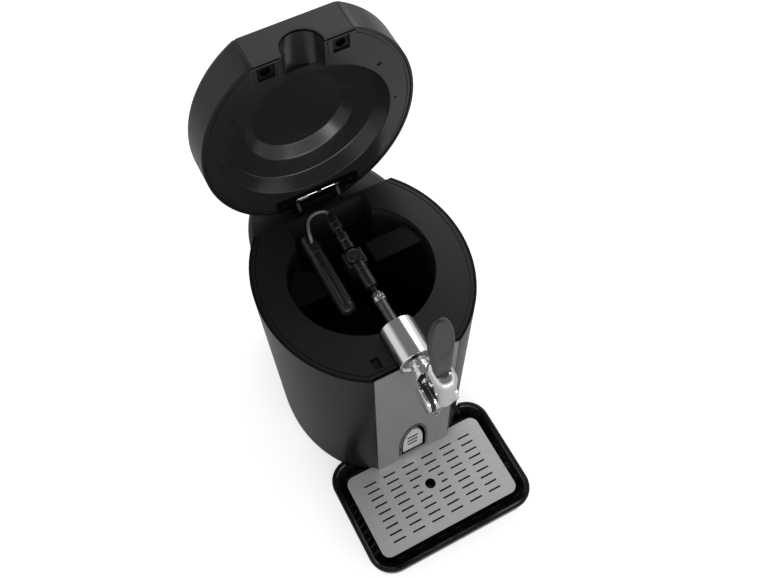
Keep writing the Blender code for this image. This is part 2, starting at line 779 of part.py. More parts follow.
def make_rear_housing(root, plastic):
    """Cover behind the body, open at the front and below, with a rounded top."""
    front = HOUSING_SPLIT
    rings = [lifted(housing_outline(BODY_BOTTOM, 0.0, front), BODY_BOTTOM)]
    for index in range(LID_ROUND_STEPS + 1):
        turn = math.pi / 2 * index / LID_ROUND_STEPS
        height = HOUSING_TOP - HOUSING_ROUND + HOUSING_ROUND * math.sin(turn)
        inset = HOUSING_ROUND * (1.0 - math.cos(turn))
        rings.append(lifted(housing_outline(height, inset, front), height))
    housing = piece("rear_housing", loft(rings), plastic, root)
    inner_front = front - OVERRUN
    inner_top = HOUSING_TOP - HOUSING_ROUND
    hollow = [lifted(housing_outline(BODY_BOTTOM, HOUSING_WALL, inner_front), BODY_BOTTOM - OVERRUN),
              lifted(housing_outline(inner_top, HOUSING_WALL, inner_front), inner_top),
              lifted(housing_outline(inner_top, HOUSING_ROUND, inner_front),
                     HOUSING_TOP - HOUSING_WALL)]
    reshape(housing, loft(hollow))
    half = SKIRT_HALF_WIDTH + GAP
    reshape(housing, block((-half, half), (inner_front, RING_BACK + GAP),
                           (inner_top, HOUSING_TOP + OVERRUN)))
    reach = (HOUSING_BACK - HOUSING_WALL - OVERRUN, HOUSING_BACK + OVERRUN)
    half = GRILLE_SIZE / 2 + GAP
    reshape(housing, block((-half, half), reach, (COOLER_Z - half, COOLER_Z + half)))
    wide = INLET_WIDTH / 2 + GAP
    tall = INLET_HEIGHT / 2 + GAP
    reshape(housing, block((INLET_X - wide, INLET_X + wide), reach, (INLET_Z - tall, INLET_Z + tall)))


def make_rear_fittings(root, plastic, black):
    """Vent grille and power inlet in the housing's back."""
    half = GRILLE_SIZE / 2
    grille = piece("rear_grille", block((-half, half), (HOUSING_BACK - GRILLE_THICK, HOUSING_BACK),
                                        (COOLER_Z - half, COOLER_Z + half)), plastic, root)
    pitch = (GRILLE_SIZE - 2.0 * GRILLE_EDGE) / GRILLE_SLOTS
    length = half - GRILLE_EDGE
    for index in range(GRILLE_SLOTS):
        middle = COOLER_Z - half + GRILLE_EDGE + pitch * (index + 0.5)
        reshape(grille, block((-length, length),
                              (HOUSING_BACK - GRILLE_THICK - OVERRUN, HOUSING_BACK + OVERRUN),
                              (middle - GRILLE_SLOT / 2, middle + GRILLE_SLOT / 2)))
    inlet = piece("power_inlet", block((INLET_X - INLET_WIDTH / 2, INLET_X + INLET_WIDTH / 2),
                                       (HOUSING_BACK - INLET_DEPTH, HOUSING_BACK),
                                       (INLET_Z - INLET_HEIGHT / 2, INLET_Z + INLET_HEIGHT / 2)),
                  black, root)
    wide = INLET_WIDTH / 2 - INLET_WALL
    tall = INLET_HEIGHT / 2 - INLET_WALL
    reshape(inlet, block((INLET_X - wide, INLET_X + wide),
                         (HOUSING_BACK - INLET_SOCKET, HOUSING_BACK + OVERRUN),
                         (INLET_Z - tall, INLET_Z + tall)))


def upright_block(width, height, front, back):
    """A box centred on the cooler's middle."""
    return block((-width / 2, width / 2), (front, back), (COOLER_Z - height / 2, COOLER_Z + height / 2))


def make_cooler(root, fan_pivot, aluminium, ceramic, plastic, black):
    """Cold block, thermoelectric module, finned sink and fan, from the chamber to the grille."""
    cold_front = POCKET_BACK + LINER_WALL + GAP
    cold_back = cold_front + COLD_THICK
    piece("cold_plate", upright_block(COLD_WIDTH, COLD_HEIGHT, cold_front, cold_back),
          aluminium, root)
    module_back = cold_back + GAP + MODULE_THICK
    piece("thermoelectric_module", upright_block(MODULE_SIZE, MODULE_SIZE, cold_back + GAP, module_back),
          ceramic, root)
    sink_front = module_back + GAP
    fin_root = sink_front + SINK_BASE
    fin_tip = fin_root + SINK_FIN_LENGTH
    pitch = (SINK_WIDTH - SINK_FIN) / (SINK_FINS - 1)
    outline = [(SINK_WIDTH / 2, sink_front), (-SINK_WIDTH / 2, sink_front)]
    for index in range(SINK_FINS):
        left = -SINK_WIDTH / 2 + pitch * index
        right = left + SINK_FIN
        outline += [(left, fin_root), (left, fin_tip), (right, fin_tip), (right, fin_root)]
    outline.remove((-SINK_WIDTH / 2, fin_root))
    outline.pop()
    piece("heat_sink", prism(outline, COOLER_Z - COLD_HEIGHT / 2, COOLER_Z + COLD_HEIGHT / 2),
          aluminium, root)
    make_fan(root, fan_pivot, fin_tip + GAP, plastic, black)


def make_fan(root, fan_pivot, front, plastic, black):
    """Square fan frame with struts, and the bladed rotor on its hub."""
    middle = (0.0, COOLER_Z)
    back = front + FAN_DEPTH
    plate_front = back - FAN_PLATE
    frame = piece("fan_frame", upright_block(FAN_SIZE, FAN_SIZE, front, back), plastic, root)
    reshape(frame, rod(FAN_BORE, front - OVERRUN, back + OVERRUN, "Y", middle, BORE_STEPS))
    reach = FAN_BORE + FAN_PLATE / 2
    struts = block((-reach, reach), (plate_front, back),
                   (COOLER_Z - FAN_STRUT / 2, COOLER_Z + FAN_STRUT / 2))
    reshape(frame, struts, "UNION")
    upright = block((-FAN_STRUT / 2, FAN_STRUT / 2), (plate_front, back),
                    (COOLER_Z - reach, COOLER_Z + reach))
    reshape(frame, upright, "UNION")
    reshape(frame, rod(FAN_HUB, plate_front, back, "Y", middle), "UNION")
    rotor_back = plate_front - GAP
    rotor_front = front + FAN_PLATE / 2
    rotor = piece("fan_rotor", rod(FAN_HUB, rotor_front, rotor_back, "Y", middle), black, fan_pivot,
                  (0.0, rotor_front, COOLER_Z))
    blade_middle = (rotor_front + rotor_back) / 2
    root_radius = FAN_HUB - BLADE_THICK
    tip = FAN_BORE - BLADE_TIP_GAP
    for index in range(BLADE_COUNT):
        blade = block((root_radius, tip), (-BLADE_CHORD / 2, BLADE_CHORD / 2),
                      (-BLADE_THICK / 2, BLADE_THICK / 2))
        twist = Matrix.Rotation(BLADE_TWIST, 4, "X")
        spread = Matrix.Rotation(math.tau * index / BLADE_COUNT, 4, "Y")
        shift = Matrix.Translation((0.0, blade_middle, COOLER_Z))
        bmesh.ops.transform(blade, matrix=shift @ spread @ twist, verts=blade.verts)
        reshape(rotor, blade, "UNION")


def base_outline(inset):
    """The base's plan under the body and the housing."""
    half_width, half_depth = body_oval(BODY_BOTTOM)
    front = TRAY_BACK + GAP + inset - BASE_INSET
    split = HOUSING_SPLIT
    rear = side_arc(oval_side(half_width, half_depth, BODY_CENTRE, split)
                    / oval_side(1.0, HOUSING_HALF_DEPTH, HOUSING_CENTRE, split) - inset,
                    HOUSING_HALF_DEPTH - inset, HOUSING_CENTRE, HOUSING_BACK - inset, split,
                    SIDE_STEPS // 2)
    side = side_arc(half_width - inset, half_depth - inset, BODY_CENTRE, split, front)
    right = rear[:-1] + side
    return right + mirrored(right)


def make_base(root, plastic, rubber):
    """Base pan with its rim under the shell, on four rubber feet."""
    low = FOOT_HEIGHT + GAP
    high = BODY_BOTTOM - GAP
    outer = base_outline(BASE_INSET)
    inner = base_outline(BASE_INSET + BASE_WALL)
    piece("base_plate", loft([lifted(outer, low), lifted(outer, high), lifted(inner, high),
                              lifted(inner, low + BASE_THICK)]), plastic, root)
    places = ((-FOOT_FRONT_X, FOOT_FRONT_Y), (FOOT_FRONT_X, FOOT_FRONT_Y),
              (-FOOT_BACK_X, FOOT_BACK_Y), (FOOT_BACK_X, FOOT_BACK_Y))
    for number, place in enumerate(places, 1):
        piece(f"foot_{number}", rod(FOOT_RADIUS, 0.0, FOOT_HEIGHT, "Z", place), rubber, root)


def make_power_board(root, green):
    """Circuit board on posts in the base pan, with one coil block on it."""
    floor = FOOT_HEIGHT + GAP + BASE_THICK + GAP
    under = floor + BOARD_RISE
    top = under + BOARD_THICK
    board = piece("power_board", block((-BOARD_WIDTH / 2, BOARD_WIDTH / 2),
                                       (-BOARD_LENGTH / 2, BOARD_LENGTH / 2), (under, top)),
                  green, root)
    for x_side in (-1.0, 1.0):
        for y_side in (-1.0, 1.0):
            place = (x_side * (BOARD_WIDTH / 2 - BOARD_POST_INSET),
                     y_side * (BOARD_LENGTH / 2 - BOARD_POST_INSET))
            reshape(board, rod(BOARD_POST, floor, under + BOARD_THICK / 2, "Z", place), "UNION")
    reshape(board, block((-COIL_BLOCK / 2, COIL_BLOCK / 2), (-COIL_BLOCK / 2, COIL_BLOCK / 2),
                         (top - BOARD_THICK / 2, top + COIL_HEIGHT)), "UNION")


def tray_outline(inset):
    """The tray's plan, drawn in by an inset."""
    return rounded_box(TRAY_HALF_WIDTH - inset, TRAY_FRONT + inset, TRAY_BACK - inset,
                       TRAY_CORNER - inset)


def make_drip_tray(tray_pivot, gloss, steel):
    """Gloss tray with a wide rim, and the slotted plate on its posts."""
    basin = TRAY_RIM + TRAY_SLOPE
    rings = [lifted(tray_outline(TRAY_DRAFT), TRAY_BOTTOM), lifted(tray_outline(0.0), TRAY_RIM_Z),
             lifted(tray_outline(TRAY_RIM), TRAY_RIM_Z), lifted(tray_outline(basin), TRAY_FLOOR)]
    tray = piece("drip_tray", loft(rings), gloss, tray_pivot)
    reshape(tray, block((-TRAY_LOW_HALF_WIDTH, TRAY_LOW_HALF_WIDTH),
                        (TRAY_LOW_FRONT, TRAY_BACK + OVERRUN), (TRAY_LOW_Z, TRAY_RIM_Z + OVERRUN)))
    post_x = PLATE_HALF_WIDTH - TRAY_POST_INSET
    pad_x = TRAY_HALF_WIDTH - TRAY_PAD_INSET
    for side in (-1.0, 1.0):
        for post_y in (PLATE_FRONT + TRAY_POST_INSET, PLATE_BACK - TRAY_POST_INSET):
            reshape(tray, rod(TRAY_POST, (TRAY_BOTTOM + TRAY_FLOOR) / 2, PLATE_TOP - PLATE_THICK - GAP,
                              "Z", (side * post_x, post_y)), "UNION")
        for pad_y in (TRAY_FRONT + TRAY_PAD_INSET, TRAY_BACK - TRAY_PAD_INSET):
            reshape(tray, rod(TRAY_PAD, 0.0, (TRAY_BOTTOM + TRAY_FLOOR) / 2, "Z",
                              (side * pad_x, pad_y)), "UNION")
    outline = rounded_box(PLATE_HALF_WIDTH, PLATE_FRONT, PLATE_BACK, PLATE_CORNER, CORNER_STEPS // 2)
    low = PLATE_TOP - PLATE_THICK
    plate = piece("drip_plate", prism(outline, low, PLATE_TOP), steel, tray_pivot)
    reshape(plate, plate_slots(low - OVERRUN, PLATE_TOP + OVERRUN))
    reshape(plate, rod(FINGER_HOLE, low - OVERRUN, PLATE_TOP + OVERRUN, "Z", (0.0, FINGER_HOLE_Y)))


def plate_slots(low, high):
    """Every drain slot in one cutter; beside the finger hole only the outer halves are cut."""
    slots = bmesh.new()
    for row in range(SLOT_ROWS):
        y = SLOT_FIRST_Y - SLOT_PITCH_Y * row
        near_hole = abs(y - FINGER_HOLE_Y) < FINGER_HOLE + SLOT_WIDTH
        for column in range(SLOT_COLUMNS):
            x = SLOT_PITCH_X * (column - (SLOT_COLUMNS - 1) / 2)
            left = x - SLOT_LENGTH / 2
            right = x + SLOT_LENGTH / 2
            if near_hole and abs(x) < SLOT_PITCH_X:
                left = x if x > 0.0 else left
                right = x if x < 0.0 else right
            corners = [slots.verts.new((u, v, w)) for w in (low, high) for u, v in
                       ((left, y - SLOT_WIDTH / 2), (right, y - SLOT_WIDTH / 2),
                        (right, y + SLOT_WIDTH / 2), (left, y + SLOT_WIDTH / 2))]
            slots.faces.new(corners[:4])
            slots.faces.new(corners[4:])
            for index in range(4):
                following = (index + 1) % 4
                slots.faces.new((corners[index], corners[following],
                                 corners[following + 4], corners[index + 4]))
    return slots


def make_button(root, button_pivot, black, steel):
    """Arched surround, ridged push button on its stem, and the switch behind it."""
    front = FRONT_FACE - BEZEL_PROUD
    back = front + BEZEL_DEPTH
    surround = piece("button_bezel",
                     prism(arch(ARCH_HALF_WIDTH + BEZEL_WALL, ARCH_BOTTOM - BEZEL_WALL,
                                ARCH_TOP + BEZEL_WALL), front, back, "Y"), black, root)
    reshape(surround, prism(arch(ARCH_HALF_WIDTH, ARCH_BOTTOM, ARCH_TOP), front - OVERRUN,
                            back - BEZEL_WALL, "Y"))
    guide = BUTTON_STEM / 2 + GAP
    reshape(surround, block((-guide, guide), (front, back + OVERRUN),
                            (BUTTON_STEM_Z - guide, BUTTON_STEM_Z + guide)))
    button_front = FRONT_FACE + BUTTON_SINK
    button_back = button_front + BUTTON_THICK
    stem_end = back + BUTTON_STEM_PAST
    button = piece("front_button", prism(arch(BUTTON_HALF_WIDTH, BUTTON_BOTTOM, BUTTON_TOP),
                                         button_front, button_back, "Y"), steel, button_pivot)
    stem = BUTTON_STEM / 2
    reshape(button, block((-stem, stem), (button_back - BUTTON_THICK / 2, stem_end),
                          (BUTTON_STEM_Z - stem, BUTTON_STEM_Z + stem)), "UNION")
    for index in range(GRIP_COUNT):
        middle = GRIP_FIRST_Z + GRIP_PITCH * index
        reshape(button, block((-GRIP_WIDTH / 2, GRIP_WIDTH / 2),
                              (button_front - OVERRUN, button_front + GRIP_DEPTH),
                              (middle - GRIP_HEIGHT / 2, middle + GRIP_HEIGHT / 2)))
    switch = piece("button_switch", block((-SWITCH_WIDTH / 2, SWITCH_WIDTH / 2),
                                          (back + GAP, back + GAP + SWITCH_DEPTH),
                                          (BUTTON_STEM_Z - SWITCH_HEIGHT / 2,
                                           BUTTON_STEM_Z + SWITCH_HEIGHT / 2)), black, root)
    well = stem + SWITCH_SLACK
    reshape(switch, block((-well, well), (back, stem_end + BUTTON_TRAVEL + SWITCH_SLACK),
                          (BUTTON_STEM_Z - well, BUTTON_STEM_Z + well)))


def lid_outline(inset, front):
    """The lid's plan, drawn in by an inset, with its flat front and small flat back."""
    back = LID_CENTRE + LID_HALF_DEPTH - LID_BACK_FLAT - inset
    return clipped_oval(LID_HALF_WIDTH - inset, LID_HALF_DEPTH - inset, LID_CENTRE, back, front)


def tap_tunnel(radius, front, back):
    """The half-round way through the lid's front, as a cylinder."""
    return rod(radius, front, back, "Y", (0.0, NOTCH_Z), BORE_STEPS)


def make_lid_shell(lid_pivot, plastic, warm):
    """Hollow lid, open below, with the front block let into its front."""
    rings = [lifted(lid_outline(0.0, LID_FRONT), LID_BOTTOM)]
    for index in range(LID_ROUND_STEPS + 1):
        turn = math.pi / 2 * index / LID_ROUND_STEPS
        inset = LID_ROUND * (1.0 - math.cos(turn))
        height = LID_TOP - LID_ROUND + LID_ROUND * math.sin(turn)
        rings.append(lifted(lid_outline(inset, LID_FRONT + inset), height))
    wall_front = LID_FRONT + BLOCK_THICK + GAP
    cavity_front = wall_front + LID_FRONT_WALL
    shell = piece("lid_shell", loft(rings), plastic, lid_pivot)
    hollow = [lifted(lid_outline(LID_WALL, cavity_front), LID_BOTTOM - OVERRUN),
              lifted(lid_outline(LID_WALL, cavity_front), LID_TOP - LID_ROUND),
              lifted(lid_outline(LID_ROUND, cavity_front + LID_ROUND - LID_WALL), LID_TOP - LID_WALL)]
    reshape(shell, loft(hollow))
    side = BLOCK_HALF_WIDTH + GAP
    reshape(shell, block((-side, side), (LID_FRONT - OVERRUN, wall_front),
                         (LID_BOTTOM - OVERRUN, BLOCK_TOP + GAP)))
    reshape(shell, tap_tunnel(NOTCH_RADIUS, LID_FRONT - OVERRUN, cavity_front + OVERRUN))
    edge = BLOCK_HALF_WIDTH - BLOCK_CHAMFER
    back = LID_FRONT + BLOCK_THICK
    outline = [(-edge, LID_FRONT), (edge, LID_FRONT), (BLOCK_HALF_WIDTH, LID_FRONT + BLOCK_CHAMFER),
               (BLOCK_HALF_WIDTH, back), (-BLOCK_HALF_WIDTH, back),
               (-BLOCK_HALF_WIDTH, LID_FRONT + BLOCK_CHAMFER)]
    facing = piece("lid_front_block", prism(outline, LID_BOTTOM, BLOCK_TOP), warm, lid_pivot)
    reshape(facing, tap_tunnel(NOTCH_RADIUS, LID_FRONT - OVERRUN, back + OVERRUN))


def circle_through(outline, radius, height):
    """A ring of points at a radius, each in the direction of the outline's own point."""
    points = []
    for x, y in outline:
        reach = math.hypot(x, y)
        points.append((x / reach * radius, y / reach * radius, height))
    return points


def make_lid_liner(lid_pivot, plastic):
    """Inner plate with its stepped round recess, the tap's tunnel, sockets and hinge pocket."""
    front = LID_FRONT + BLOCK_THICK + GAP + LID_FRONT_WALL + GAP
    edge = LID_WALL + GAP
    flange = lid_outline(edge, front)
    steps = ((RECESS_RADIUS, LID_BOTTOM), (TERRACE_RADIUS, TERRACE_Z), (STEP_RADIUS, STEP_Z),
             (DISC_RADIUS, DISC_Z))
    under = [circle_through(flange, radius, height) for radius, height in steps]
    over = [circle_through(flange, radius + LINER_SKIN, height + LINER_SKIN)
            for radius, height in steps]
    rings = under[::-1] + [lifted(flange, LID_BOTTOM), lifted(flange, LID_BOTTOM + LINER_SKIN)] + over
    liner = piece("lid_liner", loft(rings), plastic, lid_pivot)
    holder = piece("tunnel", tap_tunnel(NOTCH_RADIUS + LINER_SKIN, front + GAP, -STEP_RADIUS), plastic,
                   lid_pivot)
    core = LINER_SKIN / 2
    reshape(holder, turned([(0.0, LID_BOTTOM - OVERRUN), (RECESS_RADIUS + core, LID_BOTTOM - OVERRUN),
                            (RECESS_RADIUS + core, LID_BOTTOM), (TERRACE_RADIUS + core, TERRACE_Z + core),
                            (0.0, STEP_Z + NOTCH_RADIUS)], steps=BORE_STEPS))
    wide = NOTCH_RADIUS * 2.0
    reshape(holder, block((-wide, wide), (front - OVERRUN, 0.0), (NOTCH_Z - wide, LID_BOTTOM)))
    shape = bmesh.new()
    shape.from_mesh(holder.data)
    bpy.data.objects.remove(holder, do_unlink=True)
    reshape(liner, shape, "UNION")
    reshape(liner, tap_tunnel(NOTCH_RADIUS, front - OVERRUN, TOWER_BACK + TUNNEL_PAST))
    half = SOCKET_SIZE / 2
    through = (LID_BOTTOM - OVERRUN, LID_BOTTOM + LINER_SKIN + OVERRUN)
    for side in (-1.0, 1.0):
        reshape(liner, block((side * SOCKET_X - half, side * SOCKET_X + half),
                             (SOCKET_Y - half, SOCKET_Y + half), through))
    pocket_back = oval_back(LID_HALF_WIDTH - edge, LID_HALF_DEPTH - edge, LID_CENTRE,
                            HINGE_POCKET_HALF) - HINGE_POCKET_RIM
    reshape(liner, block((-HINGE_POCKET_HALF, HINGE_POCKET_HALF),
                         (HINGE_POCKET_FRONT, pocket_back), through))


def make_lid_magnets(lid_pivot, steel):
    """Magnets behind the lid's square sockets, each with a blind round hole."""
    low = LID_BOTTOM + LINER_SKIN + GAP
    half = MAGNET_SIZE / 2
    for name, side in (("lid_magnet_left", -1.0), ("lid_magnet_right", 1.0)):
        middle = side * SOCKET_X
        magnet = piece(name, block((middle - half, middle + half), (SOCKET_Y - half, SOCKET_Y + half),
                                   (low, low + MAGNET_THICK)), steel, lid_pivot)
        reshape(magnet, rod(MAGNET_HOLE, low - OVERRUN, low + MAGNET_THICK / 2, "Z",
                            (middle, SOCKET_Y)))


def arm(foot_low, foot_high, foot_y, start, stop):
    """A web from a flat foot to the hinge's axis, ending in a round knuckle."""
    web = prism([(foot_y, foot_low), (foot_y, foot_high), (HINGE_Y, HINGE_Z + ARM_HALF),
                 (HINGE_Y + ARM_HALF, HINGE_Z), (HINGE_Y, HINGE_Z - ARM_HALF)], start, stop, "X")
    knuckle = rod(KNUCKLE_RADIUS, start, stop, "X", (HINGE_Y, HINGE_Z))
    return web, knuckle


def make_hinge(root, lid_pivot, steel, spring_steel):
    """Fixed bracket, pin and torsion spring on the body, and the lid's leaf."""
    front = RING_BACK + GAP
    back = front + BRACKET_THICK
    bracket = piece("hinge_bracket", block((-BRACKET_HALF_WIDTH, BRACKET_HALF_WIDTH), (front, back),
                                           (BRACKET_BOTTOM, BRACKET_TOP)), steel, root)
    inner_y = back - BRACKET_THICK / 2
    for start, stop in ((-ARM_OUT, -ARM_IN), (ARM_IN, ARM_OUT)):
        for part in arm(BRACKET_TOP - 4.0 * ARM_HALF, BRACKET_TOP - 2.0 * ARM_HALF, inner_y,
                        start, stop):
            reshape(bracket, part, "UNION")
    hinge_bore = clear_of(PIN_RADIUS)
    long = LEAF_HALF_WIDTH
    reshape(bracket, rod(hinge_bore, -long, long, "X", (HINGE_Y, HINGE_Z)))
    piece("hinge_pin", rod(PIN_RADIUS, -PIN_HALF_LENGTH, PIN_HALF_LENGTH, "X", (HINGE_Y, HINGE_Z)),
          spring_steel, root)

    top = LID_BOTTOM - GAP
    low = top - LEAF_THICK
    leaf = piece("lid_hinge_leaf", block((-LEAF_HALF_WIDTH, LEAF_HALF_WIDTH), (LEAF_FRONT, LEAF_BACK),
                                         (low, top)), steel, lid_pivot)
    reshape(leaf, block((-EAR_IN, EAR_IN), (LEAF_FRONT + LEAF_STRIP, LEAF_BACK + OVERRUN),
                        (low - OVERRUN, top + OVERRUN)))
    strip_middle = LEAF_FRONT + LEAF_STRIP / 2
    for start, stop in ((-EAR_OUT, -EAR_IN), (MIDDLE_IN, MIDDLE_OUT), (EAR_IN, EAR_OUT)):
        for part in arm(low, top, strip_middle, start, stop):
            reshape(leaf, part, "UNION")
    reshape(leaf, rod(hinge_bore, -long, long, "X", (HINGE_Y, HINGE_Z)))


def spring_points():
    """The torsion spring's turns round the pin, with a straight lead at each end."""
    points = []
    count = SPRING_TURN_COUNT * SPRING_POINT_COUNT
    for index in range(count + 1):
        share = index / count
        turn = math.tau * SPRING_TURN_COUNT * share
        points.append(Vector((SPRING_START + (SPRING_END - SPRING_START) * share,
                              HINGE_Y + SPRING_RADIUS * math.cos(turn),
                              HINGE_Z + SPRING_RADIUS * math.sin(turn))))
    lead = Vector((0.0, 0.0, 2.0 * SPRING_WIRE))
    return [points[0] - lead] + points + [points[-1] + lead]


def least_turn_gap(points):
    """The least gap between a wound tube's own turns."""
    least = math.inf
    for first in range(len(points)):
        for second in range(first + SPRING_POINT_COUNT // 2, len(points)):
            least = min(least, (points[first] - points[second]).length - 2.0 * SPRING_WIRE)
    return least


def tube(name, points, radius, resolution, material, pivot):
    """A round tube along points, drawn from the keg's axis, with closed ends."""
    curve = bpy.data.curves.new(name, "CURVE")
    curve.dimensions = "3D"
    curve.bevel_depth = radius
    curve.bevel_resolution = resolution
    curve.render_resolution_u = 0
    curve.use_fill_caps = True
    spline = curve.splines.new("POLY")
    spline.points.add(len(points) - 1)
    for target, point in zip(spline.points, points):
        target.co = (*point, 1.0)
    curve.materials.append(material)
    item = bpy.data.objects.new(name, curve)
    item.parent = pivot
    bpy.context.collection.objects.link(item)
    return item


def make_tap(root, chrome, black):
    """Tower in its notch, shank and collar, seal ring, valve barrel with its cap, and spout."""
    line = (0.0, TAP_Z)
    piece("tap_tower", pipe(TOWER_RADIUS, BEER_BORE, TOWER_FRONT, TOWER_BACK, "Y", line), chrome, root)
    shank_back = TOWER_FRONT - GAP
    neck_front = BARREL_Y + BARREL_RADIUS / 2
    shank = piece("tap_shank", turned([(BEER_BORE, shank_back), (SHANK_RADIUS, shank_back),
                                       (SHANK_RADIUS, COLLAR_BACK), (COLLAR_RADIUS, COLLAR_BACK),
                                       (COLLAR_RADIUS, COLLAR_FRONT), (NECK_RADIUS, COLLAR_FRONT),
                                       (NECK_RADIUS, neck_front), (BEER_BORE, neck_front)],
                                      "Y", line), chrome, root)
    axle = (BARREL_Y, BARREL_Z)
    around = clear_of(BARREL_RADIUS, BORE_STEPS)
    reshape(shank, rod(around, -2.0 * BARREL_END, 2.0 * BARREL_END, "X", axle, BORE_STEPS))
    seal_back = COLLAR_FRONT - GAP
    piece("shank_ring", pipe(RING_SEAL_RADIUS, clear_of(NECK_RADIUS), seal_back - RING_SEAL_WIDTH,
                             seal_back, "Y", line), black, root)

    cap_right = -BARREL_END + CAP_THICK
    left = cap_right + GAP
    band_right = left + BAND_WIDTH
    bore = clear_of(SPINDLE_RADIUS)
    seat = BARREL_RADIUS - BAND_THICK - GAP
    barrel = piece("valve_body", turned([(0.0, BARREL_END - BARREL_WALL), (bore, BARREL_END - BARREL_WALL),
                                         (bore, left), (seat, left), (seat, band_right + GAP),
                                         (BARREL_RADIUS, band_right + GAP),
                                         (BARREL_RADIUS, BARREL_END), (0.0, BARREL_END)],
                                        "X", axle, BORE_STEPS), chrome, root)
    reshape(barrel, rod(BEER_BORE, BARREL_Y + BARREL_RADIUS / 3, BARREL_Y + BARREL_RADIUS + OVERRUN,
                        "Y", line))
    reshape(barrel, rod(BEER_BORE, BARREL_Z - BARREL_RADIUS - OVERRUN, BARREL_Z - BARREL_RADIUS / 3,
                        "Z", (0.0, BARREL_Y)))
    piece("valve_seal", pipe(BARREL_RADIUS, BARREL_RADIUS - BAND_THICK, left, band_right, "X", axle,
                             BORE_STEPS), black, root)
    cap = piece("valve_cap", rod(BARREL_RADIUS, -BARREL_END, cap_right, "X", axle, BORE_STEPS),
                chrome, root)
    wide = BARREL_RADIUS + OVERRUN
    reshape(cap, block((-BARREL_END - OVERRUN, -BARREL_END + CAP_SLOT_DEPTH),
                       (BARREL_Y - wide, BARREL_Y + wide),
                       (BARREL_Z - CAP_SLOT / 2, BARREL_Z + CAP_SLOT / 2)))

    spout_top = BARREL_Z - BARREL_RADIUS / 2
    cuff_low = BARREL_Z - BARREL_RADIUS - SPOUT_CUFF
    tip = BARREL_Z - BARREL_RADIUS - SPOUT_LENGTH
    spout = piece("spout", turned([(BEER_BORE, tip), (SPOUT_TIP_RADIUS, tip),
                                   (SPOUT_TIP_RADIUS, (tip + cuff_low) / 2),
                                   (SPOUT_TOP_RADIUS, cuff_low), (SPOUT_TOP_RADIUS, spout_top),
                                   (BEER_BORE, spout_top)], "Z", (0.0, BARREL_Y)), chrome, root)
    reshape(spout, rod(around, -2.0 * BARREL_END, 2.0 * BARREL_END, "X", axle, BORE_STEPS))


def handle_ring(up, width, thick, middle):
    """One station of the paddle: a softened box section at a height along the handle."""
    ring = []
    for index in range(HANDLE_SIDES):
        turn = math.tau * (index + 0.5) / HANDLE_SIDES
        x = math.copysign(abs(math.cos(turn)) ** 0.6, math.cos(turn)) * width / 2
        y = math.copysign(abs(math.sin(turn)) ** 0.6, math.sin(turn)) * thick / 2
        ring.append(lean(Vector((x, y, up)), middle))
    return ring


def lean(point, middle):
    """Put a point of the upright handle on the tilted handle's place."""
    turned_point = Matrix.Rotation(-HANDLE_TILT, 3, "X") @ point
    return turned_point + Vector((middle, HANDLE_BASE_Y, HANDLE_BASE_Z))


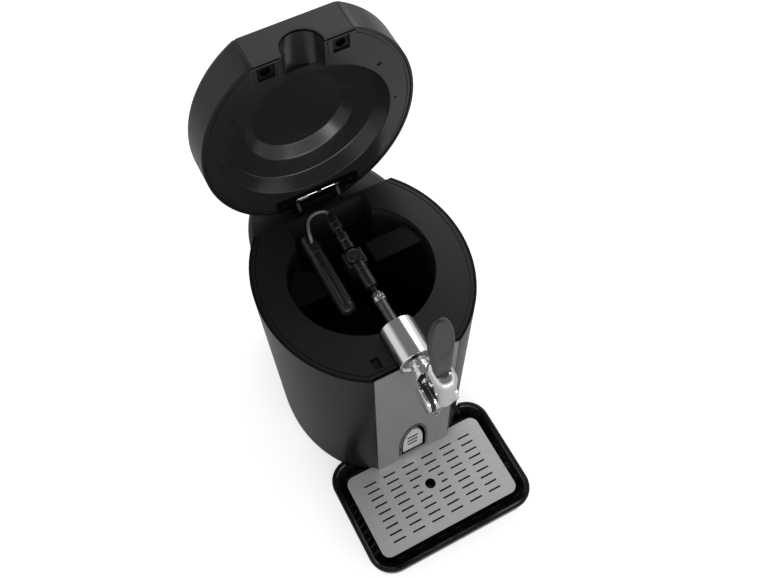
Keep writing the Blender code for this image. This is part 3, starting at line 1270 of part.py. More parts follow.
def make_lever(lever_pivot, chrome, dark, steel):
    """Lever hub over the barrel, paddle handle in its socket, cross pin and spindle."""
    origin = (0.0, BARREL_Y, BARREL_Z)
    middle = (HUB_LEFT + HUB_RIGHT) / 2
    side = HUB_FRONT - HUB_CORNER
    top = BARREL_Z + HUB_HEIGHT
    outline = [(BARREL_Y - HUB_FRONT, BARREL_Z), (BARREL_Y - HUB_FRONT, top - HUB_CORNER),
               (BARREL_Y - HUB_FRONT + HUB_CORNER / 4, top - HUB_CORNER / 4),
               (BARREL_Y - side, top), (BARREL_Y + side, top),
               (BARREL_Y + HUB_FRONT - HUB_CORNER / 4, top - HUB_CORNER / 4),
               (BARREL_Y + HUB_FRONT - HUB_CORNER / 4, top - HUB_CORNER),
               (BARREL_Y + HUB_BACK, BARREL_Z + HUB_BACK_RISE), (BARREL_Y, BARREL_Z)]
    hub = piece("lever_hub", prism(outline, HUB_LEFT, HUB_RIGHT, "X"), chrome, lever_pivot, origin)
    around = clear_of(BARREL_RADIUS, BORE_STEPS)
    reshape(hub, rod(around, -2.0 * BARREL_END, 2.0 * BARREL_END, "X",
                     (BARREL_Y, BARREL_Z), BORE_STEPS))
    half = HANDLE_TANG_WIDTH / 2 + GAP
    thick = HANDLE_TANG_THICK / 2 + GAP
    socket = block((-half, half), (-thick, thick), (-HANDLE_TANG - GAP, HUB_HEIGHT))
    for corner in socket.verts:
        corner.co = lean(corner.co, middle)
    reshape(hub, socket)
    pin_place = (LEVER_PIN_Y, LEVER_PIN_Z)
    pin_bore = clear_of(LEVER_PIN_RADIUS)
    reshape(hub, rod(pin_bore, HUB_LEFT - OVERRUN, HUB_RIGHT + OVERRUN, "X", pin_place))

    rings = [handle_ring(-HANDLE_TANG, HANDLE_TANG_WIDTH, HANDLE_TANG_THICK, middle)]
    for up_share, width_share, thick_share in HANDLE_STATION_SHARES:
        up = HANDLE_SHOULDER + (HANDLE_LENGTH - HANDLE_SHOULDER) * up_share
        rings.append(handle_ring(up, HANDLE_WIDTH * width_share, HANDLE_THICK * thick_share, middle))
    handle = piece("tap_handle", loft(rings), dark, lever_pivot, origin)
    ball = bmesh.new()
    bmesh.ops.create_uvsphere(ball, u_segments=ROUND_STEPS // 2, v_segments=ROUND_STEPS // 3,
                              radius=1.0)
    for corner in ball.verts:
        corner.co = lean(Vector((corner.co.x * DISH_HALF_WIDTH,
                                 corner.co.y * DISH_DEPTH - HANDLE_THICK / 2,
                                 corner.co.z * DISH_HALF_HEIGHT + DISH_UP)), middle)
    reshape(handle, ball)
    reshape(handle, rod(pin_bore, HUB_LEFT, HUB_RIGHT, "X", pin_place))
    head_right = HUB_LEFT - GAP
    piece("lever_pin", turned([(0.0, head_right - LEVER_PIN_HEAD_THICK),
                               (LEVER_PIN_HEAD, head_right - LEVER_PIN_HEAD_THICK),
                               (LEVER_PIN_HEAD, head_right), (LEVER_PIN_RADIUS, head_right),
                               (LEVER_PIN_RADIUS, HUB_RIGHT), (0.0, HUB_RIGHT)], "X", pin_place),
          steel, lever_pivot, origin)
    left = -BARREL_END + CAP_THICK + GAP
    piece("valve_spindle", rod(SPINDLE_RADIUS, left, BARREL_END - BARREL_WALL - GAP, "X",
                               (BARREL_Y, BARREL_Z)), steel, lever_pivot, origin)


def make_coupler(root, black, grey, clear, steel):
    """Keg coupler with its cap, gas and beer fittings, stem, clamp and clear tube to the tap."""
    line = (0.0, TAP_Z)
    front = COUPLER_Y - COUPLER_HALF_LENGTH
    back = COUPLER_Y + COUPLER_HALF_LENGTH
    middle = (0.0, COUPLER_Y)
    coupler = piece("coupler_body", block((-COUPLER_HALF_WIDTH, COUPLER_HALF_WIDTH), (front, back),
                                          (COUPLER_BOTTOM, COUPLER_TOP)), grey, root)
    reshape(coupler, rod(COUPLER_SKIRT_RADIUS, COUPLER_SKIRT_BOTTOM,
                         (COUPLER_BOTTOM + COUPLER_TOP) / 2 - OVERRUN, "Z", middle), "UNION")
    reshape(coupler, rod(COUPLER_MOUTH, COUPLER_SKIRT_BOTTOM - OVERRUN,
                         COUPLER_SKIRT_BOTTOM + COUPLER_MOUTH_DEPTH, "Z", middle))
    cap_low = COUPLER_TOP + GAP
    piece("coupler_cap", rod(CAP_RADIUS, cap_low, cap_low + CAP_HEIGHT, "Z", middle), black, root)
    start = back + GAP
    waist = (start + GAS_FITTING_BACK) / 2
    collar = GAS_FITTING_RADIUS / 2
    piece("coupler_gas_fitting", turned([(0.0, start), (GAS_FITTING_RADIUS, start),
                                         (GAS_FITTING_RADIUS, waist - collar),
                                         (GAS_FITTING_NECK, waist - collar),
                                         (GAS_FITTING_NECK, waist + collar),
                                         (GAS_FITTING_RADIUS, waist + collar),
                                         (GAS_FITTING_RADIUS, GAS_FITTING_BACK - collar),
                                         (GAS_FITTING_NECK, GAS_FITTING_BACK),
                                         (0.0, GAS_FITTING_BACK)], "Y", line), black, root)
    start = front - GAP
    bore = clear_of(STEM_RADIUS)
    deep = BEER_FITTING_FRONT + BEER_FITTING_RADIUS
    piece("coupler_beer_fitting", turned([(0.0, start), (BEER_FITTING_RADIUS, start),
                                          (BEER_FITTING_RADIUS, BEER_FITTING_FRONT),
                                          (bore, BEER_FITTING_FRONT), (bore, deep), (0.0, deep)],
                                         "Y", line), black, root)
    piece("outlet_stem", rod(STEM_RADIUS, STEM_FRONT, deep - GAP, "Y", line), steel, root)
    piece("beer_tube", pipe(TUBE_RADIUS, TUBE_BORE, TOWER_BACK + GAP, TUBE_BACK, "Y", line),
          clear, root)
    inner = clear_of(TUBE_RADIUS)
    outer = inner + CLAMP_THICK
    clamp = piece("hose_clamp", pipe(outer, inner, CLAMP_Y - CLAMP_WIDTH / 2, CLAMP_Y + CLAMP_WIDTH / 2,
                                     "Y", line), steel, root)
    for side in (-1.0, 1.0):
        ear = side * (TUBE_RADIUS / 2)
        reshape(clamp, block((ear - CLAMP_EAR_THICK / 2, ear + CLAMP_EAR_THICK / 2),
                             (CLAMP_Y - CLAMP_WIDTH / 3, CLAMP_Y + CLAMP_WIDTH / 3),
                             (TAP_Z + inner, TAP_Z + outer + CLAMP_EAR)), "UNION")


def make_gas_side(root, grey, black, steel):
    """Regulator head with the hose's nipple, cartridge sleeve, and the cartridge inside it."""
    line = (GAS_X, GAS_Z)
    head = piece("gas_head", rod(GAS_RADIUS, GAS_HEAD_FRONT, GAS_HEAD_BACK, "Y", line), black, root)
    nipple_top = GAS_Z + GAS_RADIUS + NIPPLE_HEIGHT
    reshape(head, rod(NIPPLE_RADIUS, GAS_Z, nipple_top, "Z", (GAS_X, NIPPLE_Y)), "UNION")
    sleeve_back = GAS_HEAD_FRONT - GAP
    inner = GAS_RADIUS - GAS_SLEEVE_WALL
    nose = GAS_SLEEVE_FRONT + GAS_RADIUS / 2
    piece("gas_sleeve", turned([(0.0, nose), (inner, nose), (inner, sleeve_back),
                                (GAS_RADIUS, sleeve_back), (GAS_RADIUS, nose),
                                (GAS_RADIUS / 2, GAS_SLEEVE_FRONT), (0.0, GAS_SLEEVE_FRONT)],
                               "Y", line), grey, root)
    neck_back = sleeve_back - CARTRIDGE_SLACK
    shoulder = neck_back - CARTRIDGE_SHOULDER
    piece("gas_cartridge", turned([(0.0, nose + GAP), (CARTRIDGE_RADIUS, nose + GAP),
                                   (CARTRIDGE_RADIUS, shoulder),
                                   (CARTRIDGE_NECK, neck_back - CARTRIDGE_NECK),
                                   (CARTRIDGE_NECK, neck_back), (0.0, neck_back)], "Y", line),
          steel, root)


def wall_arc(start_y, stop_y, side):
    """Points just clear of the chamber's round wall, from one Y to another."""
    facet = (math.pi + 2.0 * math.acos(POCKET_HALF_WIDTH / BORE_RADIUS)) / BORE_STEPS
    radius = BORE_RADIUS * math.cos(facet / 2.0) - GAP
    points = []
    for index in range(WALL_STEPS + 1):
        y = start_y + (stop_y - start_y) * index / WALL_STEPS
        points.append((side * math.sqrt(radius * radius - y * y), y))
    return points


def make_wall_plates(root, steel):
    """Bracket under the cartridge sleeve and ledge on the other side, both on the wall."""
    bracket_top = GAS_Z - GAS_RADIUS - GAP
    inner_x = GAS_X + BRACKET_PAST
    outline = wall_arc(BRACKET_REACH_BACK, BRACKET_REACH_FRONT, -1.0)
    outline += [(inner_x, BRACKET_REACH_FRONT), (inner_x, BRACKET_REACH_BACK),
                (BRACKET_POINT_X, BRACKET_REACH_BACK + BRACKET_POINT)]
    piece("gas_bracket", prism(outline, bracket_top - PLATE_GAUGE, bracket_top), steel, root)
    outline = wall_arc(LEDGE_FRONT, LEDGE_BACK, 1.0) + [(LEDGE_X, LEDGE_BACK), (LEDGE_X, LEDGE_FRONT)]
    piece("keg_ledge", prism(outline, LEDGE_TOP - PLATE_GAUGE, LEDGE_TOP), steel, root)


def smooth_run(route, count):
    """Evenly spaced points on a smooth curve through the route's own points."""
    knots = [Vector(point) * MM for point in route]
    knots = [2.0 * knots[0] - knots[1]] + knots + [2.0 * knots[-1] - knots[-2]]
    fine = []
    for a, b, c, d in zip(knots, knots[1:], knots[2:], knots[3:]):
        for index in range(HOSE_STEPS):
            t = index / HOSE_STEPS
            fine.append(0.5 * (2.0 * b + (c - a) * t + (2.0 * a - 5.0 * b + 4.0 * c - d) * t ** 2
                               + (3.0 * b - a - 3.0 * c + d) * t ** 3))
    fine.append(knots[-2])
    lengths = [0.0]
    for first, second in zip(fine, fine[1:]):
        lengths.append(lengths[-1] + (second - first).length)
    points = []
    for index in range(count):
        target = lengths[-1] * index / (count - 1)
        place = max(1, next(k for k, reach in enumerate(lengths) if reach >= target))
        span = lengths[place] - lengths[place - 1]
        points.append(fine[place - 1].lerp(fine[place], (target - lengths[place - 1]) / span))
    return points


def main():
    """Build every piece on its pivot, then open the lid."""
    clear_scene()
    black = finish("black_plastic", (0.012, 0.012, 0.013), 0.42)
    gloss = finish("gloss_black_plastic", (0.008, 0.008, 0.009), 0.12)
    warm = finish("front_block_plastic", (0.035, 0.032, 0.03), 0.45)
    dark = finish("handle_plastic", (0.03, 0.032, 0.035), 0.38)
    grey = finish("grey_plastic", (0.12, 0.12, 0.125), 0.5)
    rubber = finish("rubber", (0.015, 0.015, 0.015), 0.8)
    foam = finish("foam", (0.75, 0.74, 0.7), 0.9)
    dark_steel = finish("brushed_dark_steel", (0.13, 0.13, 0.135), 0.38, 1.0)
    steel = finish("brushed_steel", (0.46, 0.46, 0.45), 0.34, 1.0)
    chrome = finish("chrome", (0.8, 0.8, 0.8), 0.07, 1.0)
    aluminium = finish("aluminium", (0.6, 0.61, 0.62), 0.45, 1.0)
    ceramic = finish("ceramic_white", (0.8, 0.8, 0.78), 0.5)
    green = finish("board_green", (0.02, 0.12, 0.05), 0.5)
    clear = finish("clear_tube", (0.85, 0.87, 0.88), 0.1, clear=0.9)

    root = empty("keg_axis", (0.0, KEG_Y, 0.0))
    lid_pivot = empty("lid_axis", (0.0, HINGE_Y, HINGE_Z), root)
    lever_pivot = empty("lever_axis", (0.0, BARREL_Y, BARREL_Z), root)
    fan_pivot = empty("fan_axis", (0.0, POCKET_BACK, COOLER_Z), root)
    button_pivot = empty("button_slide", (0.0, FRONT_FACE, BUTTON_STEM_Z), root)
    tray_pivot = empty("tray_slide", (0.0, TRAY_BACK, 0.0), root)

    make_base(root, black, rubber)
    make_power_board(root, green)
    make_body_shell(root, black)
    make_front_panel(root, dark_steel)
    make_top_ring(root, black)
    make_strikes(root, steel)
    make_chamber(root, black, foam)
    make_rear_housing(root, black)
    make_rear_fittings(root, black, grey)
    make_cooler(root, fan_pivot, aluminium, ceramic, grey, black)
    make_button(root, button_pivot, black, steel)
    make_tap(root, chrome, rubber)
    make_coupler(root, black, grey, clear, steel)
    make_gas_side(root, grey, black, steel)
    make_wall_plates(root, steel)
    tube("gas_hose", smooth_run(HOSE_ROUTE, HOSE_POINT_COUNT), HOSE_RADIUS, 2, clear, root)
    make_drip_tray(tray_pivot, gloss, steel)
    make_lever(lever_pivot, chrome, dark, steel)
    make_lid_shell(lid_pivot, black, warm)
    make_lid_liner(lid_pivot, black)
    make_lid_magnets(lid_pivot, steel)
    make_hinge(root, lid_pivot, dark_steel, steel)
    turns = spring_points()
    tube("hinge_spring", turns, SPRING_WIRE, 1, steel, root)
    print(f"hinge spring, least gap between turns: {least_turn_gap(turns) / MM:.2f} mm")
    lid_pivot.rotation_euler.x = -LID_OPEN


main()
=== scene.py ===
"""Mini keg beer dispenser with its lid open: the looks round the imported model."""

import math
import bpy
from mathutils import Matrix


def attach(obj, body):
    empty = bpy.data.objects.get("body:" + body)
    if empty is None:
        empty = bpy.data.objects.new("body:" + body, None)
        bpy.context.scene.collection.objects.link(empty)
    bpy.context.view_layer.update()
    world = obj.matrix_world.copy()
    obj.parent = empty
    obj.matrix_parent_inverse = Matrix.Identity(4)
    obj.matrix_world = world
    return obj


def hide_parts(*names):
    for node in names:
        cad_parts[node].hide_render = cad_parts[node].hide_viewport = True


bl_info = {
    "name": "Mini keg beer dispenser",
    "version": (1, 0, 0),
    "blender": (4, 5, 0),
    "location": "View3D > Sidebar > Keg dispenser",
    "description": "Builds the dispenser's shown pieces, their finishes and the stage",
    "category": "Add Mesh",
}

import bmesh
import bpy
from mathutils import Matrix, Vector

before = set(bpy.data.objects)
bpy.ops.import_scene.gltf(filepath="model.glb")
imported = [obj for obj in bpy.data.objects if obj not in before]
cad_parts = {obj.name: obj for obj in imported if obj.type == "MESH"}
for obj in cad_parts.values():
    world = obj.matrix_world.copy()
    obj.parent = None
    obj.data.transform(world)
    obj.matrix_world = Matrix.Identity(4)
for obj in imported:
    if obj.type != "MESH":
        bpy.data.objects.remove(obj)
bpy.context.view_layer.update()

MM = 0.001
KEG_Y = 58.75 * MM
MERGE = 0.01 * MM
NEAR = 0.05 * MM
# Facets of the large round pieces and bores
ROUND = 96
AXES = {"X": Vector((1.0, 0.0, 0.0)), "Y": Vector((0.0, 1.0, 0.0)), "Z": Vector((0.0, 0.0, 1.0))}
OUTWARD = {"X": AXES["Y"], "Y": AXES["X"], "Z": AXES["X"]}

# Body, in millimetres from the keg's axis. Cuts from the front start at AHEAD.
RIM = (135.0, 155.0)
FOOT = (127.0, 153.5)
BODY_CENTRE = -3.0
BODY_LOW = 20.0
BODY_TOP = 328.8
BODY_BACK = 104.1
FRONT = -143.4
PANEL_BACK = -141.6
AHEAD = -150.0
WALL = 2.7
LATCH_X = 43.0
REAR_CENTRE = 80.0
CHAMFER_X = 62.0
PANEL_X = 56.3
RING_LOW = 324.7
RING_TOP = 328.3
RING_BACK = 104.4
TAP_Z = 330.0

# Lid, shut
LID_CENTRE = -5.3
HINGE = (125.9, 336.1)
LID_OPEN = math.radians(87.7)
LID_LOW = 329.3
LID_TOP = 375.0
LID_FRONT = -143.0
FLANGE_Z = 330.5
NOTCH = (24.3, 331.7)

# Tap
BARREL = (-189.0, 331.0)
HANDLE_FOOT = (4.0, -190.0, 378.0)
HANDLE_TILT = math.radians(7.3)
LEVER_PIN = (-191.0, 371.5)

# Across the keg opening
COUPLER_Y = 17.0
GAS_X = -38.0
GAS_Z = 322.0

HOSE_ROUTE = (
    (-38.0, 59.0, 335.4), (-38.0, 59.2, 339.6), (-37.6, 62.6, 343.6), (-36.0, 70.0, 345.6),
    (-31.4, 81.0, 344.6), (-25.4, 88.6, 341.8), (-17.4, 93.0, 338.4), (-9.4, 94.8, 335.2),
    (-2.9, 94.2, 331.9), (0.0, 91.2, 330.2), (0.0, 87.3, 330.0),
)


def at(x, y, z):
    """A place measured in millimetres from the keg's axis."""
    return Vector((x * MM, y * MM + KEG_Y, z * MM))


# Modelling steps, each as it is done by hand

def bare():
    """Object mode with nothing selected."""
    if bpy.context.object is not None and bpy.context.object.mode != "OBJECT":
        bpy.ops.object.mode_set(mode="OBJECT")
    bpy.ops.object.select_all(action="DESELECT")


def alone(obj):
    """Select one object and make it active."""
    bare()
    obj.select_set(True)
    bpy.context.view_layer.objects.active = obj
    return obj


def settled(name, scale=(1.0, 1.0, 1.0)):
    """Name the new primitive, size it, and put its place into its mesh."""
    obj = bpy.context.object
    obj.name = name
    obj.data.name = name
    obj.scale = scale
    alone(obj)
    bpy.ops.object.transform_apply(location=True, rotation=True, scale=True)
    return obj


def edit(obj):
    """Edit mode on one object, with all of it selected."""
    alone(obj)
    bpy.ops.object.mode_set(mode="EDIT")
    bpy.ops.mesh.select_mode(type="VERT")
    bpy.ops.mesh.select_all(action="SELECT")


def close_up(obj):
    """Merge doubles, turn the faces outwards and leave edit mode."""
    bpy.ops.mesh.select_all(action="SELECT")
    bpy.ops.mesh.remove_doubles(threshold=MERGE)
    bpy.ops.mesh.normals_make_consistent(inside=False)
    bpy.ops.object.mode_set(mode="OBJECT")
    return obj


def pick(obj, kind, test):
    """Select the points, edges or faces whose middle and normal pass a test."""
    bpy.ops.mesh.select_mode(type=kind)
    bpy.ops.mesh.select_all(action="DESELECT")
    shape = bmesh.from_edit_mesh(obj.data)
    if kind == "VERT":
        for point in shape.verts:
            point.select_set(test(point.co))
    elif kind == "EDGE":
        for line in shape.edges:
            line.select_set(all(test(point.co) for point in line.verts))
    else:
        shape.normal_update()
        for face in shape.faces:
            face.select_set(test(face.calc_center_median(), face.normal))
    bmesh.update_edit_mesh(obj.data)


def pick_lines(obj, test):
    """Select the edges whose two ends together pass a test."""
    bpy.ops.mesh.select_mode(type="EDGE")
    bpy.ops.mesh.select_all(action="DESELECT")
    shape = bmesh.from_edit_mesh(obj.data)
    for line in shape.edges:
        line.select_set(test(*(point.co for point in line.verts)))
    bmesh.update_edit_mesh(obj.data)


def pull(vector):
    """Extrude what is selected."""
    bpy.ops.mesh.extrude_region_move(TRANSFORM_OT_translate={"value": vector})


def trim(point, normal):
    """Drop what lies beyond a plane."""
    bpy.ops.mesh.select_all(action="SELECT")
    bpy.ops.mesh.bisect(plane_co=point, plane_no=normal, clear_outer=True)


def oval(name, halves, centre, height, fill="NGON", count=160):
    """A flat oval, or its outline."""
    bare()
    bpy.ops.mesh.primitive_circle_add(vertices=count, radius=1.0, fill_type=fill,
                                      location=at(0.0, centre, height))
    return settled(name, (halves[0] * MM, halves[1] * MM, 1.0))


def slab_of_oval(name, halves, centre, low, high, front, back):
    """An oval slab with a straight front and a straight back."""
    obj = oval(name, halves, centre, low)
    edit(obj)
    trim(at(0.0, front, low), (0.0, -1.0, 0.0))
    trim(at(0.0, back, low), (0.0, 1.0, 0.0))
    bpy.ops.mesh.select_all(action="SELECT")
    pull((0.0, 0.0, (high - low) * MM))
    return close_up(obj)


def oval_groove(name, halves, centre, height, width, front, back):
    """A thin oval ring that cuts a groove, with a straight front and back."""
    groove = slab_of_oval(name, halves, centre, height, height + 2.0, front, back)
    core = slab_of_oval("core", tuple(half - width for half in halves), centre, height - 1.0,
                        height + 3.0, front + width, back - width)
    return cut(groove, core)


def block(name, low, high):
    """A box from corner to corner, in millimetres from the keg's axis."""
    bare()
    start, stop = at(*low), at(*high)
    bpy.ops.mesh.primitive_cube_add(size=1.0, location=(start + stop) / 2)
    return settled(name, tuple(stop - start))


def rod(name, radius, start, stop, count=64):
    """A round bar between two places."""
    bare()
    start, stop = at(*start), at(*stop)
    turn = (stop - start).to_track_quat("Z", "Y").to_euler()
    bpy.ops.mesh.primitive_cylinder_add(vertices=count, radius=radius * MM,
                                        depth=(stop - start).length,
                                        location=(start + stop) / 2, rotation=turn)
    return settled(name)


def card(name, half_width, front, back, height, corner, segments):
    """A flat rectangle with round corners."""
    bare()
    bpy.ops.mesh.primitive_plane_add(size=1.0, location=at(0.0, (front + back) / 2, height))
    obj = settled(name, (half_width * 2.0 * MM, (back - front) * MM, 1.0))
    edit(obj)
    bpy.ops.mesh.bevel(offset=corner * MM, segments=segments, affect="VERTICES")
    bpy.ops.object.mode_set(mode="OBJECT")
    return obj


def spun(name, profile, base, axis="Z", steps=72, rounding=0.0, closed=False):
    """Turn a profile of radius and place along the axis, in millimetres, once round."""
    along, out = AXES[axis], OUTWARD[axis]
    middle = at(*base)
    bare()
    start = middle + (out * profile[0][0] + along * profile[0][1]) * MM
    bpy.ops.mesh.primitive_plane_add(size=MM, location=start)
    obj = settled(name)
    edit(obj)
    bpy.ops.mesh.merge(type="CENTER")
    for (r0, h0), (r1, h1) in zip(profile, profile[1:]):
        pull((out * (r1 - r0) + along * (h1 - h0)) * MM)
    if closed:
        pull((out * (profile[0][0] - profile[-1][0]) + along * (profile[0][1] - profile[-1][1])) * MM)
        bpy.ops.mesh.select_all(action="SELECT")
        bpy.ops.mesh.remove_doubles(threshold=MERGE)
    if rounding:
        ends = () if closed else (profile[0], profile[-1])
        ends = [middle + (out * r + along * h) * MM for r, h in ends]
        pick(obj, "VERT", lambda p: all((p - end).length > MERGE for end in ends))
        bpy.ops.mesh.bevel(offset=rounding * MM, segments=4, affect="VERTICES", clamp_overlap=True)
    bpy.ops.mesh.select_all(action="SELECT")
    bpy.ops.mesh.spin(steps=steps, angle=math.tau, center=middle, axis=along)
    return close_up(obj)


def applied(obj, kind, **settings):
    """Add a modifier with its settings and apply it."""
    alone(obj)
    modifier = obj.modifiers.new(kind.lower(), kind)
    for key, value in settings.items():
        setattr(modifier, key, value)
    bpy.ops.object.modifier_apply(modifier=modifier.name)
    return obj


def softened(obj, width, segments=3, angle=math.radians(35.0)):
    """Round the sharp edges."""
    return applied(obj, "BEVEL", width=width * MM, segments=segments, limit_method="ANGLE",
                   angle_limit=angle, use_clamp_overlap=True)


def cut(obj, *tools, operation="DIFFERENCE"):
    """Cut with other shapes, or unite with them, and drop them."""
    for tool in tools:
        applied(obj, "BOOLEAN", object=tool, operation=operation, solver="EXACT")
        bpy.data.objects.remove(tool, do_unlink=True)
    return obj


def button_hole():
    """The arched hole for the button's surround."""
    return arch("tool", 22.5, 34.5, 130.5, AHEAD, -125.0)


def tap_hole(back):
    """The round hole for the tap's tower, from in front as far as a place."""
    return rod("tool", 23.0, (0.0, AHEAD, TAP_Z), (0.0, back, TAP_Z), ROUND)


def lid_notch(back):
    """The lid's round notch over the tower, from in front as far as a place."""
    return rod("tool", NOTCH[0], (0.0, AHEAD, NOTCH[1]), (0.0, back, NOTCH[1]), ROUND)


def barrel_bore():
    """The round room for the valve barrel."""
    return rod("tool", 17.1, (-40.0, *BARREL), (40.0, *BARREL), ROUND)


def joined(obj, *others):
    """Unite shapes that overlap."""
    return cut(obj, *others, operation="UNION")


def copied(obj, shift):
    """A copy with its own mesh, moved by millimetres."""
    twin = obj.copy()
    twin.data = obj.data.copy()
    twin.data.transform(Matrix.Translation(Vector(shift) * MM))
    bpy.context.collection.objects.link(twin)
    return twin


def facing(obj, far):
    """Turn an open sheet's faces so that the farthest one along a direction looks that way."""
    best = max(obj.data.polygons, key=lambda face: face.center.dot(far))
    if best.normal.dot(far) < 0.0:
        alone(obj)
        bpy.ops.object.mode_set(mode="EDIT")
        bpy.ops.mesh.select_all(action="SELECT")
        bpy.ops.mesh.flip_normals()
        bpy.ops.object.mode_set(mode="OBJECT")
    return obj


def swung(obj):
    """Swing a lid piece, modelled shut, to where the open lid is."""
    pivot = at(0.0, *HINGE)
    turn = Matrix.Rotation(-LID_OPEN, 4, "X")
    obj.matrix_world = Matrix.Translation(pivot) @ turn @ Matrix.Translation(-pivot)
    alone(obj)
    bpy.ops.object.transform_apply(location=True, rotation=True, scale=True)
    return obj


def shown(obj, body, look, nodes=(), angle=math.radians(30.0)):
    """Give a finished piece its shading, finish and body, and hide the CAD nodes that it stands for."""
    alone(obj)
    if obj.type == "MESH":
        bpy.ops.object.shade_smooth_by_angle(angle=angle)
        applied(obj, "WEIGHTED_NORMAL", weight=80, keep_sharp=True)
    obj.data.materials.clear()
    obj.data.materials.append(finish(look))
    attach(obj, body)
    if nodes:
        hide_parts(*nodes)
    return obj


# Finishes

def node(tree, kind, place, **values):
    """A shader node with its inputs set by name."""
    made = tree.nodes.new(kind)
    made.location = place
    for key, value in values.items():
        made.inputs[key.replace("_", " ")].default_value = value
    return made


def new_group(name, inputs, outputs):
    """An empty shader group with named number inputs and outputs."""
    tree = bpy.data.node_groups.new(name, "ShaderNodeTree")
    for label, default in inputs:
        socket = tree.interface.new_socket(label, in_out="INPUT", socket_type="NodeSocketFloat")
        socket.default_value = default
    for label in outputs:
        tree.interface.new_socket(label, in_out="OUTPUT", socket_type="NodeSocketFloat")
    source = tree.nodes.new("NodeGroupInput")
    source.location = (-900, 0)
    sink = tree.nodes.new("NodeGroupOutput")
    sink.location = (700, 0)
    return tree, source, sink


def ranged(tree, value, low, high, place):
    """Spread a zero to one value over a range that may be linked."""
    spread = tree.nodes.new("ShaderNodeMapRange")
    spread.location = place
    tree.links.new(value, spread.inputs["Value"])
    for label, end in (("To Min", low), ("To Max", high)):
        if isinstance(end, float):
            spread.inputs[label].default_value = end
        else:
            tree.links.new(end, spread.inputs[label])
    return spread.outputs["Result"]


def moulded_grain_group():
    """Fine spark-eroded grain of a moulded surface, with soft uneven gloss."""
    tree, source, sink = new_group("moulded_grain", (("Grain size", 900.0), ("Low gloss", 0.3),
                                                     ("High gloss", 0.4), ("Fading", 0.15)),
                                   ("Height", "Roughness", "Shade"))
    place = tree.nodes.new("ShaderNodeTexCoord")
    place.location = (-900, -300)
    grain = node(tree, "ShaderNodeTexNoise", (-600, 200), Detail=3.0, Roughness=0.6)
    cloud = node(tree, "ShaderNodeTexNoise", (-600, -200), Scale=14.0, Detail=4.0, Roughness=0.55)
    for texture in (grain, cloud):
        tree.links.new(place.outputs["Object"], texture.inputs["Vector"])
    tree.links.new(source.outputs["Grain size"], grain.inputs["Scale"])
    tree.links.new(grain.outputs["Fac"], sink.inputs["Height"])
    tree.links.new(ranged(tree, cloud.outputs["Fac"], source.outputs["Low gloss"],
                          source.outputs["High gloss"], (0, 0)), sink.inputs["Roughness"])
    tree.links.new(ranged(tree, cloud.outputs["Fac"], 0.0, source.outputs["Fading"], (0, -300)),
                   sink.inputs["Shade"])
    return tree


def brush_lines_group():
    """Long fine lines of brushed metal. The stretch runs along X, Y or Z by its three sizes."""
    tree, source, sink = new_group("brush_lines", (("Size X", 1.0), ("Size Y", 1.0), ("Size Z", 1.0),
                                                   ("Low gloss", 0.25), ("High gloss", 0.42)),
                                   ("Height", "Roughness", "Shade"))
    place = tree.nodes.new("ShaderNodeTexCoord")
    place.location = (-900, -300)
    sizes = tree.nodes.new("ShaderNodeCombineXYZ")
    sizes.location = (-700, 100)
    for axis in "XYZ":
        tree.links.new(source.outputs[f"Size {axis}"], sizes.inputs[axis])
    stretched = tree.nodes.new("ShaderNodeVectorMath")
    stretched.operation = "MULTIPLY"
    stretched.location = (-500, 0)
    tree.links.new(place.outputs["Object"], stretched.inputs[0])
    tree.links.new(sizes.outputs["Vector"], stretched.inputs[1])
    lines = node(tree, "ShaderNodeTexNoise", (-300, 100), Scale=1.0, Detail=5.0, Roughness=0.7)
    bands = node(tree, "ShaderNodeTexNoise", (-300, -200), Scale=0.12, Detail=2.0, Roughness=0.5)
    for texture in (lines, bands):
        tree.links.new(stretched.outputs["Vector"], texture.inputs["Vector"])
    tree.links.new(lines.outputs["Fac"], sink.inputs["Height"])
    tree.links.new(ranged(tree, lines.outputs["Fac"], source.outputs["Low gloss"],
                          source.outputs["High gloss"], (0, 0)), sink.inputs["Roughness"])
    tree.links.new(bands.outputs["Fac"], sink.inputs["Shade"])
    return tree


def coloured(tree, shade, dark, light, shader):
    """Drive the base colour from dark to light by a mask."""
    mix = tree.nodes.new("ShaderNodeMix")
    mix.data_type = "RGBA"
    mix.location = (-300, 300)
    mix.inputs["A"].default_value = (*dark, 1.0)
    mix.inputs["B"].default_value = (*light, 1.0)
    tree.links.new(shade, mix.inputs["Factor"])
    tree.links.new(mix.outputs["Result"], shader.inputs["Base Color"])


def blank(name):
    """A new material, its tree and its shader."""
    material = bpy.data.materials.new(name)
    material.use_nodes = True
    tree = material.node_tree
    return material, tree, tree.nodes["Principled BSDF"]


def grained(size, low, high, fading):
    """Settings of the moulded grain."""
    return {"Grain size": size, "Low gloss": low, "High gloss": high, "Fading": fading}


def surface(name, group, values, dark, light, metallic=0.0, bump=0.0, depth=0.0001, coat=0.0,
            clear=0.0, specular=0.5):
    """A material whose colour, gloss and bump come from a shared group."""
    material, tree, shader = blank(f"{name}_finish")
    shader.inputs["Metallic"].default_value = metallic
    shader.inputs["Specular IOR Level"].default_value = specular
    shader.inputs["Coat Weight"].default_value = coat
    shader.inputs["Coat Roughness"].default_value = 0.06
    shader.inputs["Transmission Weight"].default_value = clear
    used = tree.nodes.new("ShaderNodeGroup")
    used.node_tree = bpy.data.node_groups[group]
    used.location = (-600, 0)
    for label, value in values.items():
        used.inputs[label].default_value = value
    coloured(tree, used.outputs["Shade"], dark, light, shader)
    tree.links.new(used.outputs["Roughness"], shader.inputs["Roughness"])
    if bump:
        relief = node(tree, "ShaderNodeBump", (-300, -300), Strength=bump, Distance=depth)
        tree.links.new(used.outputs["Height"], relief.inputs["Height"])
        tree.links.new(relief.outputs["Normal"], shader.inputs["Normal"])
    return material


